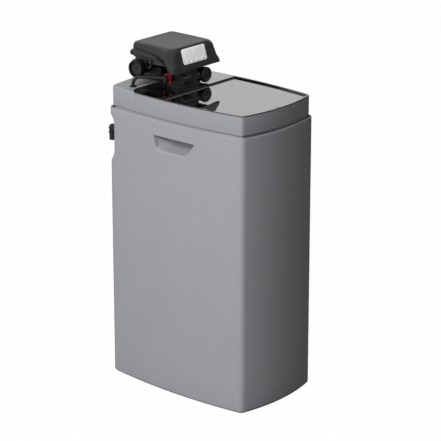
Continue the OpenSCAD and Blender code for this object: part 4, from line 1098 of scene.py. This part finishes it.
@dataclass
class Hood:
    """The valve's cover: a crowned top, a creased side panel, a flared lip and a leaning display face."""

    front_y: float = 47.0
    rear_y: float = 205.0
    low_front: float = 866.0
    low_rear: float = 889.3
    top: float = 929.0
    lean: float = math.radians(16.7)
    front_w: float = 95.0
    rear_w: float = 82.0
    wall: float = 2.5
    sweep: tuple[float, float] = (52.0, 105.0)
    flare: float = 60.0
    window: tuple[float, float, float] = (93.0, 42.0, 6.0)
    socket_at: Point = (-66.0, 190.0, 895.0)
    socket_r: float = 8.1
    inner_gap: float = 1.2
    lip_round: float = 0.7
    lip_rise: float = 0.6
    side_edge: float = 9.0
    side_end: float = 7.0
    groove_front: float = 8.0
    groove_runs: tuple[float, float] = (6.0, 14.0)
    crown: Sequence[tuple[float, float]] = ((0.72, 0.35), (0.4, 0.7), (0.12, 0.85))
    levels: Sequence[HoodLevel] = (
        HoodLevel(0.0, 28.0, 0.0, 0.0, 1.0, 6.0), HoodLevel(0.28, 28.0, 0.3, 0.2, 0.6, 7.0),
        HoodLevel(0.55, 28.0, 4.2, 0.4, 0.3, 10.0), HoodLevel(1.0, 28.0, 4.6, 0.6, 0.0, 15.0),
        HoodLevel(1.0, 14.0, 6.5, 1.2, 0.0, 17.0), HoodLevel(1.0, 6.0, 13.0, 3.2, 0.4, 17.0, 0.4, 8.0),
        HoodLevel(1.0, 1.5, 24.0, 8.5, 2.2, 16.0, 2.0, 9.0), HoodLevel(1.0, 0.0, 41.0, 21.0, 9.0, 14.0, 18.0, 9.0))
    crease: Sequence[tuple[float, float]] = (
        (57.0, 869.5), (61.0, 876.0), (67.0, 883.0), (74.0, 889.5), (85.0, 897.0), (99.0, 903.5), (113.0, 907.5),
        (132.0, 910.5), (172.0, 913.5), (205.0, 914.5))
    panel: Sequence[tuple[float, float]] = ((7.6, 1.1), (6.4, 2.4), (5.2, 2.4), (4.3, 0.5), (3.0, 0.4), (2.1, 2.2),
                                            (0.8, 2.2), (0.0, 0.0), (-0.8, 0.0))
    lip: Sequence[tuple[float, float]] = ((0.0, 0.0), (1.2, 0.0), (4.8, 0.0), (5.7, 2.0), (6.7, 2.0), (7.6, 1.1))
    side_columns: int = 36
    # Above 1, columns crowd towards the front, where the lower edge sweeps
    side_crowding: float = 1.25
    corner_columns: int = 9
    back_columns: int = 8
    face_columns: int = 12
    top_rows: int = 24

    def face_y(self, z: float) -> float:
        """Y of the display face at a height."""
        return self.front_y + (z - self.low_front) * math.tan(self.lean)

    def low_edge(self, y: float) -> float:
        """Height of the lower edge, which sweeps up from the front lip to the seam."""
        t = min(max((y - self.sweep[0]) / (self.sweep[1] - self.sweep[0]), 0.0), 1.0)
        return self.low_front + (self.low_rear - self.low_front) * t * t * (3 - 2 * t)

    def outline(self, level: HoodLevel, inset: float) -> list[Vector]:
        """Columns of one level, anticlockwise from the front right corner, moved in.

        Args:
            level: The level.
            inset: Distance in from the outer skin.

        Returns:
            The columns' points in millimetres.
        """
        front, rear = self.front_w - level.front_in - inset, self.rear_w - level.rear_in - inset
        z = self.top - level.below_top - (inset if level.share == 1.0 else 0.0)
        y0 = (self.face_y((1 - level.share) * self.low_front + level.share * z) + level.setback
              + inset / math.cos(self.lean))
        y1, r, q = self.rear_y - level.rear_back - inset, level.corner, level.rear_corner

        def wide(y: float) -> float:
            """Half width at Y, flared towards the front corner."""
            t = min(max((y - y0 - r) / self.flare, 0.0), 1.0)
            return rear + (front - rear) * (1 - t * t * (3 - 2 * t))

        def arc(x: float, y: float, start: float, bend: float) -> list[tuple[float, float]]:
            """A quarter round corner."""
            turns = [start + math.pi / 2 * i / self.corner_columns for i in range(self.corner_columns)]
            return [(x + bend * math.cos(a), y + bend * math.sin(a)) for a in turns]

        n = self.side_columns
        side = [y0 + r + (y1 - y0 - r - q) * (i / n) ** self.side_crowding for i in range(n + 1)]
        back = spaced(rear - q, q - rear, (rear - q) / self.back_columns)[:-1]
        face = spaced(r - front, front - r, (front - r) / self.face_columns)[:-1]
        flat = (arc(front - r, y0 + r, -math.pi / 2, r) + [(wide(y), y) for y in side[:-1]]
                + arc(rear - q, y1 - q, 0.0, q) + [(x, y1) for x in back] + arc(q - rear, y1 - q, math.pi / 2, q)
                + [(-wide(y), y) for y in side[:0:-1]] + arc(r - front, y0 + r, math.pi, r) + [(x, y0) for x in face])
        return [Vector((x, y, (1 - level.share) * self.low_edge(y) + level.share * z)) for x, y in flat]

    @staticmethod
    def along(knots: Sequence[Vector], s: float) -> Vector:
        """Point of the smooth curve through a column's knots.

        Args:
            knots: The column's points on the levels.
            s: Place along the curve, a whole number at each knot.

        Returns:
            The point.
        """
        i = min(int(s), len(knots) - 2)
        t = s - i
        before, a, b, after = knots[max(i - 1, 0)], knots[i], knots[i + 1], knots[min(i + 2, len(knots) - 1)]
        return 0.5 * (2 * a + (b - before) * t + (2 * before - 5 * a + 4 * b - after) * t * t
                      + (3 * a - before - 3 * b + after) * t ** 3)

    def place(self, knots: Sequence[Vector], z: float) -> float:
        """Where a column's curve reaches a height.

        Args:
            knots: The column's points on the levels.
            z: The height.

        Returns:
            The place along the curve.
        """
        step = 0.02
        s = 0.0
        while s < len(knots) - 1 and self.along(knots, s).z < z:
            s += step
        return max(s - step / 2, 0.0)

    def column(self, knots: Sequence[Vector]) -> list[Vector]:
        """All points of one column of the outer skin, with its crease and side panel.

        Args:
            knots: The column's points on the levels.

        Returns:
            The points from the lower edge to the top.
        """
        low, last = knots[0], len(knots) - 1
        first, final = self.front_y + self.side_end, self.rear_y - self.side_end
        on_side = abs(low.x) > self.rear_w - self.side_edge and first < low.y < final
        line = between(self.crease, low.y)
        room = min(1.0, max((line - low.z) * 0.7 / self.panel[0][0], 0.05))
        depth = 0.0
        if on_side:
            fore = min(1.0, max((low.y - self.front_y - self.groove_front) / self.groove_runs[0], 0.0))
            aft = min(1.0, (final - low.y) / self.groove_runs[1])
            depth = math.sqrt(room) * fore * aft
        start = self.place(knots, line - self.panel[0][0] * room)
        end = self.place(knots, line - self.panel[-1][0] * room)
        top = low.z + self.lip[-1][0] * room
        band = min(self.place(knots, top), start * 0.5)
        marks = [(band * rise / self.lip[-1][0], deep) for rise, deep in self.lip]
        marks += [(band + (start - band) * f, self.panel[0][1]) for f in (0.2, 0.4, 0.6, 0.8)]
        marks += [(self.place(knots, line - d * room), deep) for d, deep in self.panel]
        marks += [(s, 0.0) for s in spaced(end, float(last), (last - end) / self.top_rows)[1:]]
        points = []
        for s, deep in marks:
            p = self.along(knots, s)
            p.x -= math.copysign(deep * depth, p.x)
            points.append(p)
        return points

    def build(self) -> bpy.types.Object:
        """Models the cover as one closed skin and cuts the window and the power socket's hole.

        Returns:
            The cover.
        """
        outer, inner, lip = (list(zip(*(self.outline(level, inset) for level in self.levels)))
                             for inset in (0.0, self.wall + self.inner_gap, self.lip_round))
        skins = [self.column(knots) for knots in outer]
        inside = [[self.along(knots, s) for s in spaced(7.0, 0.0, 0.5)] for knots in inner]
        rings = [[tuple(c[i]) for c in inside] for i in range(len(inside[0]))]
        rings.append([tuple(knots[0]) for knots in lip])
        rim = [[tuple(c[i]) for c in skins] for i in range(len(skins[0]))]
        rim[0] = [(x, y, z + self.lip_rise) for x, y, z in rim[0]]
        rings += rim
        shoulder = rim[-1]
        middle_y = sum(p[1] for p in shoulder) / len(shoulder)
        for share, rise in self.crown:
            rings.append([(x * share, middle_y + (y - middle_y) * share, z + rise) for x, y, z in shoulder])
        cover = loft("hood_cover", rings)
        window = loft("cutter", [rounded(*self.window, z) for z in (-12.0, 8.0)])
        window.data.transform(Display(self).matrix())
        cut_with(cover, window)
        cut_with(cover, rod("cutter", self.socket_at, self.socket_r, 30.0, Axis.Y))
        smooth(cover, 30.0)
        return settle(cover, Body.HOOD, HOOD_ABS, "matt_black", "hood")


@dataclass
class Display:
    """The pale window with its ghosted segments, and the four keys in a row below them."""

    hood: Hood = field(default_factory=Hood)
    height: float = 902.0
    clear: float = 0.2
    thick: float = 2.0
    key_pitch: float = 19.0
    key_row: float = -15.0
    key_cap: tuple[float, float, float] = (10.8, 4.8, 1.3)
    key_hole: tuple[float, float, float] = (11.6, 5.6, 1.5)
    key_span: tuple[float, float] = (-3.3, 0.8)
    mark_size: tuple[float, float] = (4.2, 1.3)
    digits: Sequence[float] = (-26.0, -11.5, 11.5, 26.0)
    digit_row: float = 5.5
    digit_half: tuple[float, float] = (4.4, 8.0)
    segment_span: tuple[float, float] = (-0.05, 0.03)
    keys: Sequence[tuple[Body, str]] = ((Body.MODE, "mode_button"), (Body.SET, "set_button"), (Body.UP, "up_button"),
                                        (Body.DOWN, "down_button"))

    def matrix(self) -> Matrix:
        """The display's frame: X across, Y up the face, Z out of it."""
        at = Vector((0.0, self.hood.face_y(self.height), self.height)) * MM
        return Matrix.Translation(at) @ Matrix.Rotation(math.pi / 2 - self.hood.lean, 4, "X")

    def key_place(self, i: int) -> Matrix:
        """Where a key sits in the display's frame, counted from the left."""
        return Matrix.Translation(((i - 1.5) * self.key_pitch * MM, self.key_row * MM, 0.0))

    def window(self) -> None:
        """Models the window with its key holes."""
        wide, high, corner = self.hood.window
        size = (wide - 2 * self.clear, high - 2 * self.clear)
        window = plate("display_window", size, corner - self.clear, (-self.thick, 0.0), 0.45)
        for i in range(len(self.keys)):
            hole = loft("cutter", [rounded(*self.key_hole, z) for z in (-6.0, 6.0)])
            hole.data.transform(self.key_place(i))
            cut_with(window, hole)
        window.data.transform(self.matrix())
        smooth(window, TRIM_ANGLE)
        settle(window, Body.HOOD, WINDOW_PMMA, "lens", "display_lens")

    def bar(self, at: tuple[float, float], length: float, upright: bool) -> bpy.types.Object:
        """One segment: a thin six-sided bar with pointed ends.

        Args:
            at: Its centre in the display's frame.
            length: Its length.
            upright: It stands instead of lying.

        Returns:
            The bar.
        """
        h, w = length / 2, 0.85
        outline = [(-h, 0.0), (-h + w, -w), (h - w, -w), (h, 0.0), (h - w, w), (-h + w, w)]
        if upright:
            outline = [(-y, x) for x, y in outline]
        return loft("segment", [[(at[0] + x, at[1] + y, z) for x, y in outline] for z in self.segment_span])

    def segments(self) -> None:
        """Models the unlit segments of four digits and the two points between them."""
        bars = []
        row, (w, h) = self.digit_row, self.digit_half
        for x in self.digits:
            bars += [self.bar((x, row + y), 7.4, False) for y in (-h, 0.0, h)]
            bars += [self.bar((x + dx, row + y), 7.0, True) for dx in (-w, w) for y in (-h / 2, h / 2)]
        bars += [loft("segment", [rounded(1.8, 1.8, 0.8, z, 4) for z in self.segment_span]) for _ in range(2)]
        for piece, y in zip(bars[-2:], (2.0, 9.0)):
            piece.data.transform(Matrix.Translation((0.0, y * MM, 0.0)))
        ghost = join("display_segments", bars)
        ghost.data.transform(self.matrix())
        settle(ghost, Body.HOOD, SEGMENT_GREY, "lcd")

    def buttons(self) -> None:
        """Models the four keys, each with a stem and an inlaid mark."""
        for i, (body, node) in enumerate(self.keys):
            place = self.matrix() @ self.key_place(i)
            head = plate(f"{node}_cap", self.key_cap[:2], self.key_cap[2], self.key_span, 0.5)
            stem = turned("stem", ((1.6, -5.7), (2.0, -5.3), (2.0, -3.0)), (0.0, 0.0, 0.0), Axis.Z, 32)
            key = join(f"{node}_cap", [head, stem])
            key.data.transform(place)
            smooth(key, TRIM_ANGLE)
            settle(key, body, KEY_SILICONE, "key", node)
            mark = plate(f"{node}_mark", self.mark_size, 0.6, (0.7, 0.84), 0.02)
            mark.data.transform(place)
            settle(mark, body, MARK_INK, "key")

    def build(self) -> None:
        """Models the window, the segments and the keys."""
        self.window()
        self.segments()
        self.buttons()


# Valve


@dataclass
class ValveTrim:
    """The caps on the valve: the meter's on the left and the injector's at the front right.

    A profile gives radius and height, and flutes their count, depth and least radius.
    """

    columns: int = 240
    meter_at: Point = (-82.5, 180.0, 860.0)
    meter_flutes: tuple[int, float, float] = (40, 0.7, 23.0)
    # A fluted rim, a sunk ring and a flat boss with a centre hole
    meter_profile: Sequence[tuple[float, float]] = (
        (12.9, -4.0), (12.9, 0.0), (22.7, 0.0), (23.4, 0.7), (23.4, 14.4), (22.9, 15.7), (21.8, 16.4), (20.9, 16.5),
        (20.2, 16.1), (19.8, 15.2), (19.4, 9.4), (18.9, 9.0), (17.0, 9.0), (16.4, 9.4), (16.1, 10.2), (15.5, 10.8),
        (8.6, 10.8), (8.2, 10.5), (7.6, 10.5), (7.2, 10.8), (2.6, 10.8), (2.0, 10.3), (2.0, 8.0))
    injector_at: Point = (45.0, 63.0, 838.0)
    injector_flutes: tuple[int, float, float] = (20, 1.3, 20.0)
    # A gripped rim, a stepped face and a shallow dish
    injector_profile: Sequence[tuple[float, float]] = (
        (7.9, -6.0), (7.9, 0.0), (20.2, 0.0), (20.9, 0.7), (20.9, 8.0), (20.3, 8.9), (19.2, 9.2), (18.4, 9.6),
        (18.0, 10.4), (17.9, 11.2), (17.2, 11.9), (16.2, 12.0), (14.6, 12.0), (13.9, 11.5), (13.2, 10.8), (6.4, 10.8),
        (6.0, 11.1), (5.2, 11.2))

    @staticmethod
    def fit_cap(node: str, cap: bpy.types.Object) -> None:
        """Shades a turned cap and settles it in place of its CAD node."""
        smooth(cap, TRIM_ANGLE)
        settle(cap, Body.CABINET, VALVE_NYLON_SHADED, "matt_black", node)

    def build(self) -> None:
        """Models the caps."""
        self.fit_cap("meter_cap", turned("meter_cap_turned", self.meter_profile, self.meter_at, Axis.MINUS_X,
                                         self.columns, self.meter_flutes))
        self.fit_cap("injector_cap", turned("injector_cap_turned", self.injector_profile, self.injector_at,
                                            Axis.MINUS_Y, self.columns, self.injector_flutes))


def soften_nodes() -> None:
    """Softens the moulded edges of the small CAD nodes that carry over."""
    for name, width in SOFT_NODES.items():
        bevel = frame["nodes"][name].modifiers.new("soft edges", "BEVEL")
        bevel.width, bevel.segments = width * MM, 2
        bevel.limit_method, bevel.angle_limit = "ANGLE", math.radians(50)


# Studio


@dataclass
class Studio:
    """The camera at the photograph's place, one soft lamp, a pale floor and a white room.

    In reflections the room is white overhead and on the left, and dark near the horizon elsewhere.
    """

    place: Point = (-4.15650, -3.63385, 2.35147)
    right: Point = (0.65450728, -0.7560557, 0.0)
    up: Point = (0.24603299, 0.21298746, 0.94557079)
    back: Point = (-0.71490418, -0.61888296, 0.32541649)
    lens: float = 177.842
    sensor: float = 36.0
    frame_px: float = 441.0
    ambient: float = 0.2
    horizon: float = 0.05
    sky: tuple[float, float] = (0.12, 0.27)
    left_wall: tuple[float, float] = (-0.6, -0.3)
    left_floor: tuple[float, float] = (-1.3, -0.7)
    floor_size: float = 30.0
    floor_drop: float = 0.0005
    floor_tone: str = "585858"
    floor_rough: float = 0.9
    floor_seen: float = 0.93
    floor_shine: float = 0.85
    floor_glow: float = 1.06
    key_place: Point = (-8.3, -1.2, 5.9)
    key_aim: Point = (0.0, 0.0, 0.5)
    key_size: float = 3.5
    key_watts: float = 1000.0

    def camera(self) -> None:
        """Sets the camera up."""
        data = bpy.data.cameras.new("camera")
        data.lens, data.sensor_width = self.lens, self.sensor
        data.shift_x, data.shift_y = -0.5 / self.frame_px, 0.5 / self.frame_px
        data.clip_end = 60.0
        camera = bpy.data.objects.new("camera", data)
        bpy.context.scene.collection.objects.link(camera)
        turn = Matrix((self.right, self.up, self.back)).transposed().to_4x4()
        camera.matrix_world = Matrix.Translation(self.place) @ turn
        bpy.context.scene.camera = camera

    @staticmethod
    def lamp(name: str, at: Point, aim: Point, size: float, watts: float) -> None:
        """Hangs one soft lamp.

        Args:
            name: The lamp's name.
            at: Its place in metres.
            aim: The point it faces.
            size: Its side in metres.
            watts: Its power.
        """
        data = bpy.data.lights.new(name, "AREA")
        data.shape, data.size, data.energy = "SQUARE", size, watts
        lamp = bpy.data.objects.new(name, data)
        bpy.context.scene.collection.objects.link(lamp)
        lamp.location = at
        lamp.rotation_euler = (Vector(aim) - Vector(at)).to_track_quat("-Z", "Y").to_euler()
        lamp.visible_camera = lamp.visible_glossy = False

    def room(self) -> None:
        """Makes the white room: dim to diffuse light, white to the camera and to reflections."""
        world = bpy.data.worlds.new("room")
        bpy.context.scene.world = world
        world.use_nodes = True
        tree = world.node_tree
        path = add_node(tree, "LightPath")
        way = add_node(tree, "SeparateXYZ", None, {0: add_node(tree, "TexCoord").outputs["Generated"]})
        above = add_node(tree, "MapRange", {"From Min": self.sky[0], "From Max": self.sky[1],
                                            "To Min": self.horizon, "To Max": 1.0}, {"Value": way.outputs["Z"]})
        beside = add_node(tree, "MapRange", {"From Min": self.left_wall[0], "From Max": self.left_wall[1],
                                             "To Min": 1.0, "To Max": self.horizon}, {"Value": way.outputs["X"]})
        shine = add_node(tree, "Math", {"operation": "MAXIMUM"},
                         {0: above.outputs["Result"], 1: beside.outputs["Result"]})
        clear = add_node(tree, "Math", {"operation": "MAXIMUM"},
                         {0: path.outputs["Is Camera Ray"], 1: path.outputs["Is Transmission Ray"]})
        plain = add_node(tree, "MapRange", {"To Min": self.ambient, "To Max": 1.0}, {"Value": clear.outputs[0]})
        level = add_node(tree, "Mix", {"data_type": "FLOAT"}, {
            0: path.outputs["Is Glossy Ray"], 2: plain.outputs["Result"], 3: shine.outputs[0]})
        ground = tree.nodes["Background"]
        ground.inputs["Color"].default_value = (1.0, 1.0, 1.0, 1.0)
        tree.links.new(level.outputs[0], ground.inputs["Strength"])

    def floor(self) -> None:
        """Lays the pale floor, which shows white but keeps a light shadow."""
        floor = primitive("plane", "floor", size=self.floor_size)
        floor.location = (0.0, 0.0, -self.floor_drop)
        made = bpy.data.materials.new("floor paper")
        made.use_nodes = True
        tree = made.node_tree
        shader = tree.nodes["Principled BSDF"]
        shader.inputs["Base Color"].default_value = linear(self.floor_tone)
        shader.inputs["Roughness"].default_value = self.floor_rough
        path = add_node(tree, "LightPath")
        seen = add_node(tree, "Math", {"operation": "MULTIPLY", 1: self.floor_seen},
                        {0: path.outputs["Is Camera Ray"]})
        where = add_node(tree, "SeparateXYZ", None, {0: add_node(tree, "TexCoord").outputs["Object"]})
        left = add_node(tree, "MapRange", {"From Min": self.left_floor[0], "From Max": self.left_floor[1],
                                           "To Min": self.floor_shine, "To Max": 0.0}, {"Value": where.outputs["X"]})
        shine = add_node(tree, "Math", {"operation": "MULTIPLY"},
                         {0: path.outputs["Is Glossy Ray"], 1: left.outputs["Result"]})
        share = add_node(tree, "Math", {"operation": "MAXIMUM"}, {0: seen.outputs[0], 1: shine.outputs[0]})
        glow = add_node(tree, "Emission", {"Color": (1.0, 1.0, 1.0, 1.0), "Strength": self.floor_glow})
        mix = add_node(tree, "MixShader", None, {0: share.outputs[0], 1: shader.outputs["BSDF"],
                                                 2: glow.outputs["Emission"]})
        tree.links.new(mix.outputs["Shader"], tree.nodes["Material Output"].inputs["Surface"])
        floor.data.materials.append(made)

    def build(self) -> None:
        """Sets up the camera, room, floor and lamp."""
        self.camera()
        self.room()
        self.floor()
        self.lamp("key", self.key_place, self.key_aim, self.key_size, self.key_watts)
        bpy.context.scene.view_settings.view_transform = "Standard"


def main() -> None:
    """Builds the studio and every piece in order."""
    logging.basicConfig(level=logging.INFO, format="%(name)s: %(message)s")
    Studio().build()
    dress_nodes()
    Cabinet().build()
    Deck().build()
    Hood().build()
    Display().build()
    ValveTrim().build()
    soften_nodes()


if __name__ == "__main__":
    main()
